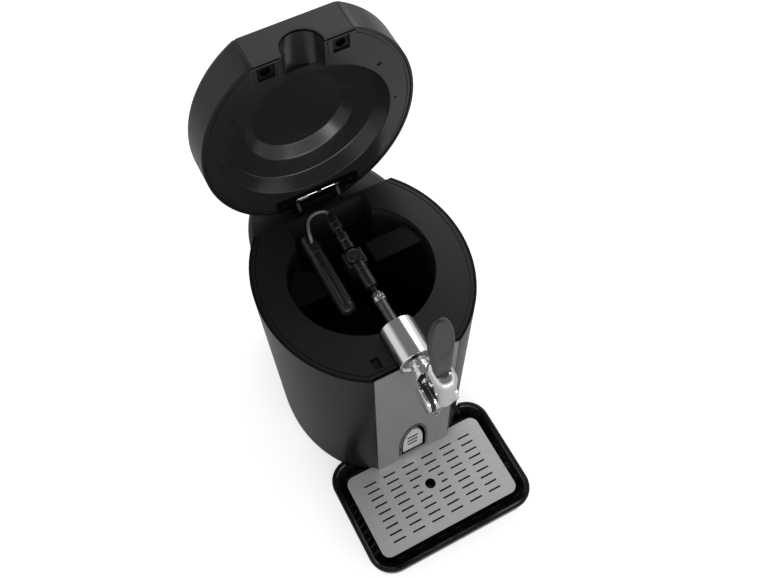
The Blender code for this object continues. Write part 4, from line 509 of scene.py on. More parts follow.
def plastic(name, colour, low, high, bump=0.12, size=1100.0, coat=0.0, lighter=1.7, specular=0.35):
    """Moulded plastic, rubber or foam of one colour, a little faded in patches."""
    light = tuple(min(1.0, part * lighter) for part in colour)
    return surface(name, "moulded_grain", grained(size, low, high, 0.5), colour, light, bump=bump,
                   coat=coat, specular=specular)


def brushed(name, dark, light, sizes, low=0.26, high=0.44, bump=0.1, metallic=1.0):
    """Brushed metal with its lines along the axis that has the smallest size."""
    values = {"Size X": sizes[0], "Size Y": sizes[1], "Size Z": sizes[2], "Low gloss": low,
              "High gloss": high}
    return surface(name, "brush_lines", values, dark, light, metallic=metallic, bump=bump,
                   depth=0.00005)


def make_finishes():
    """Every finish, once."""
    moulded_grain_group()
    brush_lines_group()
    plastics = bpy.context.scene.keg_plastics
    metals = bpy.context.scene.keg_metals
    black = tuple(plastics.black)
    plastic("black_plastic", black, plastics.black_gloss, plastics.black_gloss + 0.1)
    # Painted shade: a darker, duller copy of the black plastic for the body's sides and for the bracket
    # and ledge in the chamber
    plastic("shaded_body_black", tuple(part * 0.8 for part in black), plastics.black_gloss - 0.05,
            plastics.black_gloss + 0.03, specular=0.1)
    plastic("lid_inside_plastic", tuple(part * 1.3 for part in black), 0.2, 0.26, bump=0.03,
            specular=0.5)
    plastic("inner_plastic", tuple(part * 2.0 for part in black), 0.32, 0.44)
    plastic("gloss_black", tuple(part * 0.6 for part in black), 0.06, 0.1, bump=0.0, coat=0.6)
    plastic("warm_front_plastic", tuple(plastics.warm), 0.42, 0.5)
    plastic("handle_plastic", tuple(plastics.handle), 0.34, 0.42, bump=0.08)
    plastic("grey_plastic", (0.045, 0.045, 0.048), 0.35, 0.45)
    plastic("rubber", (0.012, 0.012, 0.012), 0.6, 0.75, bump=0.3, size=600.0)
    plastic("foam", (0.66, 0.65, 0.6), 0.85, 0.95, bump=0.6, size=260.0, lighter=1.15)
    plastic("ceramic_white", (0.75, 0.75, 0.73), 0.4, 0.5, lighter=1.1)
    surface("silver_plastic", "moulded_grain", grained(900.0, 0.24, 0.32, 0.4), (0.7, 0.7, 0.71),
            (0.8, 0.8, 0.81), metallic=0.55, bump=0.05)
    plastic("board_green", (0.015, 0.1, 0.04), 0.35, 0.45)
    panel = tuple(metals.panel)
    plate = tuple(metals.plate)
    brushed("panel_steel", panel, tuple(part * 1.18 for part in panel), (900.0, 900.0, 7.0),
            low=0.3, high=0.46, bump=0.05, metallic=0.7)
    brushed("plate_steel", plate, tuple(part * 1.12 for part in plate), (6.0, 1100.0, 900.0),
            low=0.24, high=0.4, bump=0.06, metallic=0.6)
    brushed("dark_steel", (0.02, 0.02, 0.021), (0.035, 0.035, 0.036), (500.0, 500.0, 40.0))
    brushed("steel", (0.5, 0.5, 0.5), (0.62, 0.62, 0.61), (30.0, 700.0, 700.0))
    brushed("aluminium", (0.5, 0.51, 0.52), (0.6, 0.61, 0.62), (300.0, 300.0, 30.0))
    brushed("chrome", (0.72, 0.72, 0.73), (0.78, 0.78, 0.79), (40.0, 40.0, 40.0),
            low=metals.chrome_roughness, high=metals.chrome_roughness + 0.05, bump=0.0)
    surface("clear_tube", "moulded_grain", grained(300.0, 0.06, 0.14, 0.6), (0.2, 0.19, 0.22),
            (0.3, 0.29, 0.32), clear=0.7)
    surface("milky_hose", "moulded_grain", grained(300.0, 0.1, 0.2, 0.6), (0.22, 0.23, 0.23),
            (0.32, 0.33, 0.33), clear=0.4)


def finish(name):
    """A finish by its name."""
    return bpy.data.materials[f"{name}_finish"]


# What a user would change

class KegPlastics(bpy.types.PropertyGroup):
    """Colours and gloss of the plastic pieces."""
    black: bpy.props.FloatVectorProperty(name="Black", description="Colour of the body and the lid",
                                         subtype="COLOR", size=3, min=0.0, max=1.0,
                                         default=(0.0095, 0.0095, 0.01))
    black_gloss: bpy.props.FloatProperty(name="Black roughness", description="Roughness of the body",
                                         subtype="FACTOR", min=0.0, max=1.0, default=0.3)
    warm: bpy.props.FloatVectorProperty(name="Lid front", description="Colour of the lid's front block",
                                        subtype="COLOR", size=3, min=0.0, max=1.0,
                                        default=(0.034, 0.032, 0.031))
    handle: bpy.props.FloatVectorProperty(name="Handle", description="Colour of the tap's handle",
                                          subtype="COLOR", size=3, min=0.0, max=1.0,
                                          default=(0.03, 0.031, 0.033))


class KegMetals(bpy.types.PropertyGroup):
    """Colours and gloss of the metal pieces."""
    panel: bpy.props.FloatVectorProperty(name="Front panel", description="Colour of the steel front",
                                         subtype="COLOR", size=3, min=0.0, max=1.0,
                                         default=(0.27, 0.27, 0.278))
    plate: bpy.props.FloatVectorProperty(name="Drip plate", description="Colour of the slotted plate",
                                         subtype="COLOR", size=3, min=0.0, max=1.0,
                                         default=(0.76, 0.76, 0.755))
    chrome_roughness: bpy.props.FloatProperty(name="Chrome roughness", subtype="FACTOR", min=0.0,
                                              description="Roughness of the tap", max=1.0, default=0.1)


class KegShapes(bpy.types.PropertyGroup):
    """Sizes of small details."""
    edge: bpy.props.FloatProperty(name="Edge rounding", description="Rounding of moulded edges, in mm",
                                  min=0.1, max=2.0, default=1.1)
    lid_shoulder: bpy.props.FloatProperty(name="Lid shoulder", min=2.0, max=10.0, default=8.5,
                                          description="Rounding of the lid's top edge, in mm")
    tray_rounding: bpy.props.FloatProperty(name="Tray rim rounding", min=0.5, max=3.0, default=2.2,
                                           description="Rounding of the drip tray's rim, in mm")
    slot_rounding: bpy.props.FloatProperty(name="Slot edge", min=0.05, max=0.4, default=0.2,
                                           description="Rounding of the drain slots' edges, in mm")


class KegStage(bpy.types.PropertyGroup):
    """Floor, light and camera."""
    floor: bpy.props.FloatVectorProperty(name="Floor", description="Colour of the floor",
                                         subtype="COLOR", size=3, min=0.0, max=1.0,
                                         default=(0.86, 0.86, 0.86))
    key_power: bpy.props.FloatProperty(name="Key lamp", description="Power of the main lamp",
                                       subtype="POWER", min=0.0, max=200.0, default=24.0)
    fill_power: bpy.props.FloatProperty(name="Fill lamp", description="Power of the side lamp",
                                        subtype="POWER", min=0.0, max=200.0, default=11.0)
    world_light: bpy.props.FloatProperty(name="Room light", description="Light from all round",
                                         min=0.0, max=2.0, default=0.55)
    lens: bpy.props.FloatProperty(name="Lens", description="Focal length on a 36 mm sensor", min=10.0,
                                  max=200.0, default=42.41)


# Operators, one for each piece or group of like pieces

class BodySides(bpy.types.Operator):
    """Tapered oval wall of the body, with its chamfers beside the steel front"""
    bl_idname = "keg.body_sides"
    bl_label = "Body sides"

    def execute(self, context):
        wall = self.form("body_sides")
        hollow = copied(wall, (0.0, 0.0, 0.0))
        edit(hollow)
        bpy.ops.transform.resize(value=(1.0 - WALL / RIM[0], 1.0 - WALL / RIM[1], 1.2),
                                 center_override=at(0.0, BODY_CENTRE, BODY_TOP / 2))
        bpy.ops.object.mode_set(mode="OBJECT")
        cut(wall, hollow,
            block("tool", (-PANEL_X, AHEAD, 10.0), (PANEL_X, PANEL_BACK, 340.0)),
            block("tool", (-140.0, 91.7, 10.0), (140.0, 110.0, 305.3)),
            block("tool", (-93.3, 91.7, 290.0), (93.3, 110.0, 340.0)),
            block("tool", (-140.0, AHEAD, 10.0), (140.0, -131.0, 24.0)),
            button_hole(),
            tap_hole(-88.0))
        softened(wall, context.scene.keg_shapes.edge, 2)
        # The sides take the darker copy of the black plastic, painted shade
        shown(wall, "base", "shaded_body_black", ("body_shell",))
        return {"FINISHED"}

    def form(self, name):
        """Solid form of the body: oval with a flat front and chamfers, drawn in to the foot."""
        shoulder = BODY_CENTRE - RIM[1] * math.sqrt(1.0 - (CHAMFER_X / RIM[0]) ** 2)
        solid = slab_of_oval(name, RIM, BODY_CENTRE, BODY_LOW, BODY_TOP, shoulder, BODY_BACK)
        edit(solid)
        front = at(0.0, shoulder, 0.0).y + NEAR
        pick(solid, "FACE", lambda middle, normal: normal.y < -0.99 and middle.y < front)
        pull((0.0, (FRONT - shoulder) * MM, 0.0))
        bpy.ops.transform.resize(value=(PANEL_X / CHAMFER_X, 1.0, 1.0),
                                 center_override=at(0.0, FRONT, 0.0))
        low = BODY_LOW * MM + NEAR
        pick(solid, "VERT", lambda p: p.z < low)
        bpy.ops.transform.resize(value=(FOOT[0] / RIM[0], FOOT[1] / RIM[1], 1.0),
                                 center_override=at(0.0, BODY_CENTRE, BODY_LOW))
        front = at(0.0, FRONT + 2.5, 0.0).y
        pick(solid, "VERT", lambda p: p.z < low and p.y < front and abs(p.x) < PANEL_X * MM)
        bpy.ops.transform.resize(value=(RIM[0] / FOOT[0], 0.0, 1.0),
                                 center_override=at(0.0, FRONT, BODY_LOW))
        bpy.ops.mesh.select_all(action="SELECT")
        bpy.ops.mesh.vert_connect_nonplanar(angle_limit=0.0002)
        return close_up(solid)


def arch(name, half_width, low, high, front, back, rise=62.0):
    """An upright slab with a tall half-oval top, facing the front."""
    bare()
    middle = at(0.0, front, (low + high) / 2)
    bpy.ops.mesh.primitive_plane_add(size=1.0, location=middle, rotation=(math.pi / 2, 0.0, 0.0))
    obj = settled(name, (half_width * 2.0 * MM, (high - low) * MM, 1.0))
    edit(obj)
    pick(obj, "VERT", lambda p: p.z > middle.z)
    bpy.ops.mesh.bevel(offset=half_width * 0.999 * MM, segments=24, affect="VERTICES")
    spring = (high - half_width) * MM - MERGE
    pick(obj, "VERT", lambda p: p.z > spring)
    bpy.ops.transform.resize(value=(1.0, 1.0, min(rise, high - low - 2.0) / half_width),
                             center_override=at(0.0, front, high))
    bpy.ops.mesh.select_all(action="SELECT")
    pull((0.0, (back - front) * MM, 0.0))
    return close_up(obj)


class SteelFront(bpy.types.Operator):
    """Flat brushed panel with the button's arch and the tap's notch"""
    bl_idname = "keg.steel_front"
    bl_label = "Steel front"

    def execute(self, context):
        panel = block("steel_front", (-56.0, FRONT, 24.0), (56.0, -141.9, RING_TOP))
        cut(panel, button_hole(),
            tap_hole(-130.0))
        softened(panel, 0.4, 2)
        shown(panel, "base", "panel_steel", ("front_panel",))
        return {"FINISHED"}


class TopPlate(bpy.types.Operator):
    """Plate round the keg opening, with its groove, latch holes and skirt"""
    bl_idname = "keg.top_plate"
    bl_label = "Top plate"

    def execute(self, context):
        front = -138.6
        plate = slab_of_oval("top_plate", (131.6, 151.7), BODY_CENTRE, RING_LOW, RING_TOP, front,
                             RING_BACK)
        cut(plate, oval_groove("groove", (127.6, 147.7), BODY_CENTRE, RING_TOP - 1.2, 1.2,
                               front + 4.2, 120.0))
        joined(plate, block("skirt", (-93.0, 102.3, 296.0), (93.0, 104.4, 326.5)))
        cut(plate, rod("tool", 92.5, (0.0, 0.0, 320.0), (0.0, 0.0, 332.0), 160),
            block("tool", (-54.0, 50.0, 320.0), (54.0, 100.4, 332.0)),
            tap_hole(-88.0))
        for side in (-1.0, 1.0):
            cut(plate, block("tool", (side * LATCH_X - 5.5, -130.5, 320.0),
                             (side * LATCH_X + 5.5, -115.5, 332.0)))
        softened(plate, 0.35, 2)
        shown(plate, "base", "black_plastic", ("top_ring",))
        return {"FINISHED"}


class RearCover(bpy.types.Operator):
    """Housing behind the hinge, with openings for the grille and the inlet"""
    bl_idname = "keg.rear_cover"
    bl_label = "Rear cover"

    def execute(self, context):
        cover = slab_of_oval("rear_cover", (106.6, 129.0), REAR_CENTRE, BODY_LOW, 305.0, 92.0, 166.0)
        edit(cover)
        low = (BODY_LOW + 1.0) * MM
        pick(cover, "VERT", lambda p: p.z < low)
        bpy.ops.transform.resize(value=(100.2 / 106.6, 1.0, 1.0),
                                 center_override=at(0.0, 92.0, BODY_LOW))
        top = 304.5 * MM
        front = at(0.0, 92.1, 0.0).y
        pick_lines(cover, lambda a, b: min(a.z, b.z) > top and max(a.y, b.y) >= front)
        bpy.ops.mesh.bevel(offset=9.0 * MM, segments=7, affect="EDGES")
        pick(cover, "FACE", lambda middle, normal: normal.y < -0.9 or normal.z < -0.9)
        bpy.ops.mesh.delete(type="FACE")
        bpy.ops.object.mode_set(mode="OBJECT")
        facing(cover, AXES["Y"])
        applied(cover, "SOLIDIFY", thickness=2.5 * MM, offset=-1.0)
        cut(cover, block("tool", (-93.3, 80.0, 296.0), (93.3, 104.7, 310.0)),
            block("tool", (-42.3, 155.0, 117.7), (42.3, 170.0, 202.3)),
            block("tool", (-66.3, 155.0, 35.7), (-37.7, 170.0, 56.3)))
        softened(cover, 0.5, 2)
        shown(cover, "base", "black_plastic", ("rear_housing",))
        return {"FINISHED"}


class BaseSkirt(bpy.types.Operator):
    """Base pan under the body and the cover, and its four rubber feet"""
    bl_idname = "keg.base_skirt"
    bl_label = "Base and feet"

    def execute(self, context):
        skirt = slab_of_oval("base_skirt", (126.0, 152.5), BODY_CENTRE, 6.0, 19.7, -107.2, 92.2)
        joined(skirt, slab_of_oval("rear", (99.2, 128.0), REAR_CENTRE, 6.0, 19.7, 92.0, 165.0))
        hollow = slab_of_oval("hollow", (123.0, 149.5), BODY_CENTRE, 10.0, 25.0, -104.2, 92.4)
        joined(hollow, slab_of_oval("rear", (96.2, 125.0), REAR_CENTRE, 10.0, 25.0, 90.0, 162.0))
        cut(skirt, hollow)
        softened(skirt, 0.8, 2)
        shown(skirt, "base", "black_plastic", ("base_plate",))
        places = ((-74.0, -62.0), (74.0, -62.0), (-66.0, 128.0), (66.0, 128.0))
        for number, (x, y) in enumerate(places, 1):
            pad = spun(f"rubber_foot_{number}", [(0.0, 0.0), (7.0, 0.0), (7.6, 0.7), (8.6, 0.7),
                                                 (9.4, 0.0), (10.2, 0.2), (11.0, 1.4), (11.0, 5.7),
                                                 (0.0, 5.7)], (x, y, 0.0), steps=40)
            shown(pad, "base", "rubber", (f"foot_{number}",))
        return {"FINISHED"}


class LidCover(bpy.types.Operator):
    """Outer shell of the lid with its rounded shoulder"""
    bl_idname = "keg.lid_cover"
    bl_label = "Lid cover"

    def execute(self, context):
        cover = slab_of_oval("lid_cover", (133.3, 154.6), LID_CENTRE, LID_LOW, LID_TOP, LID_FRONT, 148.5)
        edit(cover)
        top = (LID_TOP - 0.1) * MM
        pick(cover, "EDGE", lambda p: p.z > top)
        bpy.ops.mesh.bevel(offset=context.scene.keg_shapes.lid_shoulder * MM, segments=8,
                           affect="EDGES")
        pick(cover, "FACE", lambda middle, normal: normal.z < -0.9)
        bpy.ops.mesh.inset(thickness=3.0 * MM)
        pull((0.0, 0.0, 42.0 * MM))
        close_up(cover)
        cut(cover, block("tool", (-57.3, AHEAD, 320.0), (57.3, -140.0, 371.8)),
            lid_notch(-130.0))
        softened(cover, 0.6, 2)
        shown(swung(cover), "lid", "black_plastic", ("lid_shell",))
        return {"FINISHED"}


class LidBlock(bpy.types.Operator):
    """Slightly lighter front block of the lid, with its half-round notch"""
    bl_idname = "keg.lid_block"
    bl_label = "Lid front block"

    def execute(self, context):
        facing_piece = block("lid_block", (-57.0, LID_FRONT, LID_LOW), (57.0, -140.3, 371.5))
        cut(facing_piece, lid_notch(-130.0))
        softened(facing_piece, 1.0, 3)
        shown(swung(facing_piece), "lid", "warm_front_plastic",
              ("lid_front_block",))
        return {"FINISHED"}


class LidInside(bpy.types.Operator):
    """Inner plate of the lid: stepped round recess, tap tunnel, latch sockets and screw holes"""
    bl_idname = "keg.lid_inside"
    bl_label = "Lid inside"

    def execute(self, context):
        front = -137.7
        inside = slab_of_oval("lid_inside", (129.4, 150.7), LID_CENTRE, FLANGE_Z, FLANGE_Z + 2.0, front,
                              144.9)
        cut(inside, oval_groove("groove", (126.4, 147.7), LID_CENTRE, FLANGE_Z - 1.0, 1.0, front + 4.0,
                                142.0))
        for side in (-1.0, 1.0):
            low, high = sorted((side * 28.0, side * 60.0))
            surround = block("surround", (low, front, LID_LOW), (high, -110.0, FLANGE_Z + 1.0))
            joined(inside, softened(surround, 0.8, 3))
        cut(inside, rod("tool", 103.2, (0.0, 0.0, 320.0), (0.0, 0.0, 340.0), 160))
        profile = [(104.4, FLANGE_Z), (103.0, FLANGE_Z + 0.2), (94.0, 349.0), (71.0, 357.0),
                   (57.4, 368.6), (0.0, 368.8)]
        bowl = spun("bowl", profile, (0.0, 0.0, 0.0), steps=128, rounding=2.6)
        facing(bowl, -AXES["Z"])
        applied(bowl, "SOLIDIFY", thickness=1.5 * MM, offset=-1.0)
        joined(inside, bowl)
        holder = rod("holder", NOTCH[0] + 2.0, (0.0, front, NOTCH[1]), (0.0, -71.0, NOTCH[1]), ROUND)
        under = spun("under", [(0.0, 320.0), (103.8, 320.0), (103.8, FLANGE_Z + 0.6), (94.6, 349.8),
                               (0.0, 380.0)], (0.0, 0.0, 0.0), steps=128)
        cut(holder, under, block("tool", (-40.0, AHEAD, 290.0), (40.0, -60.0, FLANGE_Z)))
        joined(inside, holder)
        cut(inside, lid_notch(-89.0))
        for side in (-1.0, 1.0):
            cut(inside, block("tool", (side * LATCH_X - 10.0, -136.6, 320.0),
                              (side * LATCH_X + 10.0, -116.6, 336.0)),
                rod("tool", 3.4, (side * 88.0, -72.0, 320.0), (side * 88.0, -72.0, FLANGE_Z + 1.5), 32),
                rod("tool", 2.0, (side * 110.0, -3.5, 320.0), (side * 110.0, -3.5, FLANGE_Z + 1.5), 24))
        cut(inside, block("tool", (-38.0, 109.5, 320.0), (38.0, 137.5, 340.0)))
        shown(swung(inside), "lid", "lid_inside_plastic", ("lid_liner",),
              angle=math.radians(38.0))
        return {"FINISHED"}


class HingeFittings(bpy.types.Operator):
    """Hinge pin, its torsion spring and the leaf's screws"""
    bl_idname = "keg.hinge_fittings"
    bl_label = "Hinge fittings"

    def execute(self, context):
        pin = spun("hinge_rod", [(0.0, -36.0), (2.2, -36.0), (2.75, -35.4), (2.75, 35.4), (2.2, 36.0),
                                 (0.0, 36.0)], (0.0, *HINGE), "X", steps=32)
        shown(pin, "base", "chrome", ("hinge_pin",))
        turns = []
        for index in range(5 * 28 + 1):
            share = index / (5 * 28)
            turn = math.tau * 5.0 * share
            turns.append(at(-24.6 + 12.6 * share, HINGE[0] + 4.2 * math.cos(turn),
                            HINGE[1] + 4.2 * math.sin(turn)))
        lead = Vector((0.0, 0.0, 1.6 * MM))
        spring = wire("spring_coil", [turns[0] - lead] + turns + [turns[-1] + lead], 0.8)
        shown(spring, "base", "steel", ("hinge_spring",))
        for name, x in (("leaf_screw_left", -45.5), ("leaf_screw_right", 45.5)):
            screw = spun(name, [(0.0, 326.2), (1.9, 326.2), (2.9, 326.6), (3.1, 327.0), (1.4, 327.0),
                                (1.4, 328.8), (0.0, 328.8)], (x, 118.0, 0.0), steps=32)
            cut(screw, block("tool", (x - 2.0, 117.6, 325.0), (x + 2.0, 118.4, 326.7)),
                block("tool", (x - 0.4, 116.0, 325.0), (x + 0.4, 120.0, 326.7)))
            shown(swung(screw), "lid", "dark_steel")
        return {"FINISHED"}


def wire(name, points, radius):
    """A round wire or hose along points, as a curve with closed ends."""
    line = bpy.data.curves.new(name, "CURVE")
    line.dimensions = "3D"
    line.bevel_depth = radius * MM
    line.bevel_resolution = 5
    line.use_fill_caps = True
    spline = line.splines.new("POLY")
    spline.points.add(len(points) - 1)
    for target, point in zip(spline.points, points):
        target.co = (*point, 1.0)
    spline.use_smooth = True
    made = bpy.data.objects.new(name, line)
    bpy.context.collection.objects.link(made)
    return made


class TapBody(bpy.types.Operator):
    """Chrome tower, shank, seals, valve barrel with its slotted cap, and the spout"""
    bl_idname = "keg.tap_body"
    bl_label = "Tap"

    def execute(self, context):
        line = (0.0, 0.0, TAP_Z)
        tower = spun("tower", [(4.0, -92.0), (22.5, -92.0), (22.5, -143.5), (19.6, -143.5),
                               (18.8, -141.2), (4.0, -141.2)], line, "Y", ROUND, rounding=0.8, closed=True)
        shown(tower, "base", "chrome", ("tap_tower",))
        shank = spun("shank", [(4.0, -143.8), (11.4, -143.8), (11.4, -147.0), (10.2, -147.3),
                               (10.2, -148.5), (11.4, -148.8), (11.4, -153.4), (12.4, -154.0),
                               (13.0, -155.0), (13.0, -157.4), (11.8, -157.7), (11.8, -158.9),
                               (13.0, -159.2), (13.0, -164.2), (12.2, -165.0), (9.0, -165.0),
                               (9.0, -180.0), (4.0, -180.0)],
                     line, "Y", ROUND, closed=True)
        cut(shank, barrel_bore())
        shown(shank, "base", "chrome", ("tap_shank",))
        ring = spun("seal_ring", [(9.1, -165.3), (11.5, -165.3), (11.5, -168.3), (9.1, -168.3)], line,
                    "Y", 64, rounding=1.0, closed=True)
        shown(ring, "base", "rubber", ("shank_ring",))
        axle = (0.0, *BARREL)
        barrel = spun("barrel", [(0.0, 17.0), (8.7, 17.0), (8.7, -15.7), (14.9, -15.7), (14.9, -10.4),
                                 (17.0, -10.4), (17.0, 18.4), (16.0, 19.6), (14.4, 20.0), (0.0, 20.0)],
                      axle, "X", ROUND)
        cut(barrel, rod("tool", 4.0, (0.0, -183.0, TAP_Z), (0.0, -168.0, TAP_Z), 32),
            rod("tool", 4.0, (0.0, BARREL[0], 310.0), (0.0, BARREL[0], 325.0), 32))
        shown(barrel, "base", "chrome", ("valve_body",))
        band = spun("barrel_seal", [(15.2, -15.7), (17.0, -15.7), (17.0, -10.7), (15.2, -10.7)], axle,
                    "X", ROUND, rounding=0.5, closed=True)
        shown(band, "base", "rubber", ("valve_seal",))
        cap = spun("slotted_cap", [(0.0, -20.0), (14.2, -20.0), (16.2, -19.3), (17.0, -17.8),
                                   (17.0, -16.0), (0.0, -16.0)], axle, "X", ROUND)
        cut(cap, block("tool", (-24.0, BARREL[0] - 21.0, BARREL[1] - 1.5),
                       (-18.8, BARREL[0] + 21.0, BARREL[1] + 1.5)))
        softened(cap, 0.3, 2)
        shown(cap, "base", "chrome", ("valve_cap",))
        spout = spun("spout_tube", [(4.0, 278.0), (6.1, 278.0), (6.5, 278.6), (6.5, 288.0),
                                    (7.1, 292.0), (8.6, 299.0), (9.0, 302.0), (9.0, 307.0),
                                    (8.5, 307.5), (9.0, 308.0), (9.0, 322.5), (4.0, 322.5)],
                     (0.0, BARREL[0], 0.0), steps=64, closed=True)
        cut(spout, barrel_bore())
        shown(spout, "base", "chrome", ("spout",))
        return {"FINISHED"}


def leaned(obj):
    """Tilt what was modelled upright on the ground on to the handle's foot."""
    obj.matrix_world = (Matrix.Translation(at(*HANDLE_FOOT))
                        @ Matrix.Rotation(-HANDLE_TILT, 4, "X"))
    alone(obj)
    bpy.ops.object.transform_apply(location=True, rotation=True, scale=True)
    return obj


class TapLever(bpy.types.Operator):
    """Chrome hub over the barrel, dark paddle handle and the cross pin"""
    bl_idname = "keg.tap_lever"
    bl_label = "Tap lever"

    def execute(self, context):
        y, z = BARREL
        hub = block("hub", (-10.0, y - 20.0, z), (18.0, y + 19.8, z + 57.5))
        edit(hub)
        lowest = (z + 1.0) * MM
        pick(hub, "VERT", lambda p: p.z < lowest and p.y > at(0.0, y, 0.0).y)
        bpy.ops.transform.translate(value=(0.0, -0.3 * MM, 14.5 * MM))
        pick_lines(hub, lambda a, b: abs(a.z - b.z) > 30.0 * MM)
        bpy.ops.mesh.bevel(offset=13.0 * MM, segments=12, affect="EDGES")
        highest = (z + 57.0) * MM
        pick(hub, "EDGE", lambda p: p.z > highest)
        bpy.ops.mesh.bevel(offset=11.0 * MM, segments=10, affect="EDGES")
        close_up(hub)
        softened(hub, 2.0, 4, math.radians(50.0))
        bare()
        bpy.ops.mesh.primitive_cube_add(size=1.0, location=(0.0, 0.0, 22.0 * MM))
        socket = settled("socket", (18.6 * MM, 11.6 * MM, 69.0 * MM))
        cut(hub, barrel_bore(), leaned(socket),
            rod("tool", 2.45, (-30.0, *LEVER_PIN), (30.0, *LEVER_PIN), 32))
        softened(hub, 0.4, 2)
        shown(hub, "tap_lever", "chrome", ("lever_hub",))
        self.paddle()
        pin = spun("lever_pin_ball", [(0.0, -12.9), (1.6, -12.8), (2.9, -12.3), (3.7, -11.4),
                                      (3.75, -10.8), (3.2, -10.3), (2.4, -10.3), (2.4, 18.0),
                                      (0.0, 18.0)], (0.0, *LEVER_PIN), "X", steps=40)
        shown(pin, "tap_lever", "chrome", ("lever_pin",))
        return {"FINISHED"}

    def paddle(self):
        """Handle: a ring pulled up through its stations, closed, smoothed and dished."""
        stations = ((-11.0, 17.6, 10.6), (2.0, 18.4, 11.0), (10.0, 19.4, 11.6), (17.0, 21.6, 12.4),
                    (27.0, 23.8, 13.0), (38.0, 26.2, 13.4), (48.0, 28.8, 13.4), (57.0, 30.4, 13.4),
                    (69.0, 30.6, 13.2), (79.0, 29.4, 12.7), (88.0, 26.8, 11.9), (96.0, 22.6, 10.6),
                    (102.4, 16.0, 8.4), (106.6, 7.4, 5.0))
        bare()
        up, width, thick = stations[0]
        bpy.ops.mesh.primitive_circle_add(vertices=24, radius=1.0, fill_type="NGON",
                                          location=(0.0, 0.0, up * MM))
        handle = settled("paddle_handle", (width / 2 * MM, thick / 2 * MM, 1.0))
        edit(handle)
        for (u0, w0, t0), (u1, w1, t1) in zip(stations, stations[1:]):
            pull((0.0, 0.0, (u1 - u0) * MM))
            bpy.ops.transform.resize(value=(w1 / w0, t1 / t0, 1.0), center_override=(0.0, 0.0, u1 * MM))
        close_up(handle)
        ups = [station[0] * MM for station in stations]
        for point in handle.data.vertices:
            number = min(range(len(ups)), key=lambda index: abs(ups[index] - point.co.z))
            half_width, half_thick = (size / 2 * MM for size in stations[number][1:])
            across, deep = point.co.x / half_width, point.co.y / half_thick
            point.co.x = math.copysign(abs(across) ** 0.72, across) * half_width
            point.co.y = math.copysign(abs(deep) ** 0.5, deep) * half_thick
        applied(handle, "SUBSURF", levels=2, render_levels=2)
        for point in handle.data.vertices:
            reach = (point.co.x / (12.4 * MM)) ** 2 + ((point.co.z - 74.0 * MM) / (31.0 * MM)) ** 2
            if reach < 1.0 and point.co.y < 0.0:
                point.co.y += 1.8 * MM * (1.0 - reach) ** 0.4
        leaned(handle)
        shown(handle, "tap_lever", "handle_plastic", ("tap_handle",))


class DripTray(bpy.types.Operator):
    """Gloss tray with a wide rim, its sloping moat, posts and pads"""
    bl_idname = "keg.drip_tray"
    bl_label = "Drip tray"

    def execute(self, context):
        tray = card("tray_pan", 126.0, -283.5, -107.5, 25.0, 34.0, 16)
        edit(tray)
        pull((0.0, 0.0, -23.0 * MM))
        bpy.ops.transform.resize(value=(123.0 / 126.0, 85.0 / 88.0, 1.0),
                                 center_override=at(0.0, -195.5, 2.0))
        bpy.ops.mesh.select_all(action="SELECT")
        bpy.ops.mesh.normals_make_consistent(inside=False)
        pick(tray, "FACE", lambda middle, normal: normal.z > 0.9)
        bpy.ops.mesh.inset(thickness=6.5 * MM)
        bpy.ops.mesh.inset(thickness=12.0 * MM, depth=-20.0 * MM)
        close_up(tray)
        softened(tray, context.scene.keg_shapes.tray_rounding, 5, math.radians(30.0))
        for x in (-92.5, 92.5):
            for y in (-247.0, -149.0):
                joined(tray, rod("post", 6.0, (x, y, 3.5), (x, y, 20.1), 32))
        for x in (-96.0, 96.0):
            for y in (-253.5, -137.5):
                joined(tray, rod("pad", 9.0, (x, y, 0.0), (x, y, 3.5), 32))
        cut(tray, block("tool", (-95.0, -141.0, 19.2), (95.0, -100.0, 30.0)))
        shown(tray, "tray", "gloss_black", ("drip_tray",))
        return {"FINISHED"}


class DripPlate(bpy.types.Operator):
    """Brushed plate with its rows of drain slots and a finger hole"""
    bl_idname = "keg.drip_plate"
    bl_label = "Drip plate"

    def execute(self, context):
        plate = card("slotted_plate", 106.5, -261.0, -135.0, 20.5, 12.0, 10)
        edit(plate)
        pull((0.0, 0.0, 1.5 * MM))
        close_up(plate)
        slots = []
        whole = block("whole", (-9.5, -1.25, 18.0), (9.5, 1.25, 24.0))
        half = block("half", (0.0, -1.25, 18.0), (9.5, 1.25, 24.0))
        for row in range(9):
            y = -156.7 - 11.0 * row
            for column in range(6):
                x = 30.5 * (column - 2.5)
                beside_hole = row in (3, 4) and column in (2, 3)
                if beside_hole:
                    shift = x if x > 0.0 else x - 9.5
                    slots.append(copied(half, (shift, y, 0.0)))
                else:
                    slots.append(copied(whole, (x, y, 0.0)))
        for spare in (whole, half):
            bpy.data.objects.remove(spare, do_unlink=True)
        bare()
        for slot in slots:
            slot.select_set(True)
        bpy.context.view_layer.objects.active = slots[0]
        bpy.ops.object.join()
        cut(plate, slots[0], rod("tool", 7.5, (0.0, -195.2, 15.0), (0.0, -195.2, 25.0), 48))
        softened(plate, context.scene.keg_shapes.slot_rounding, 2)
        shown(plate, "tray", "plate_steel", ("drip_plate",))
        return {"FINISHED"}


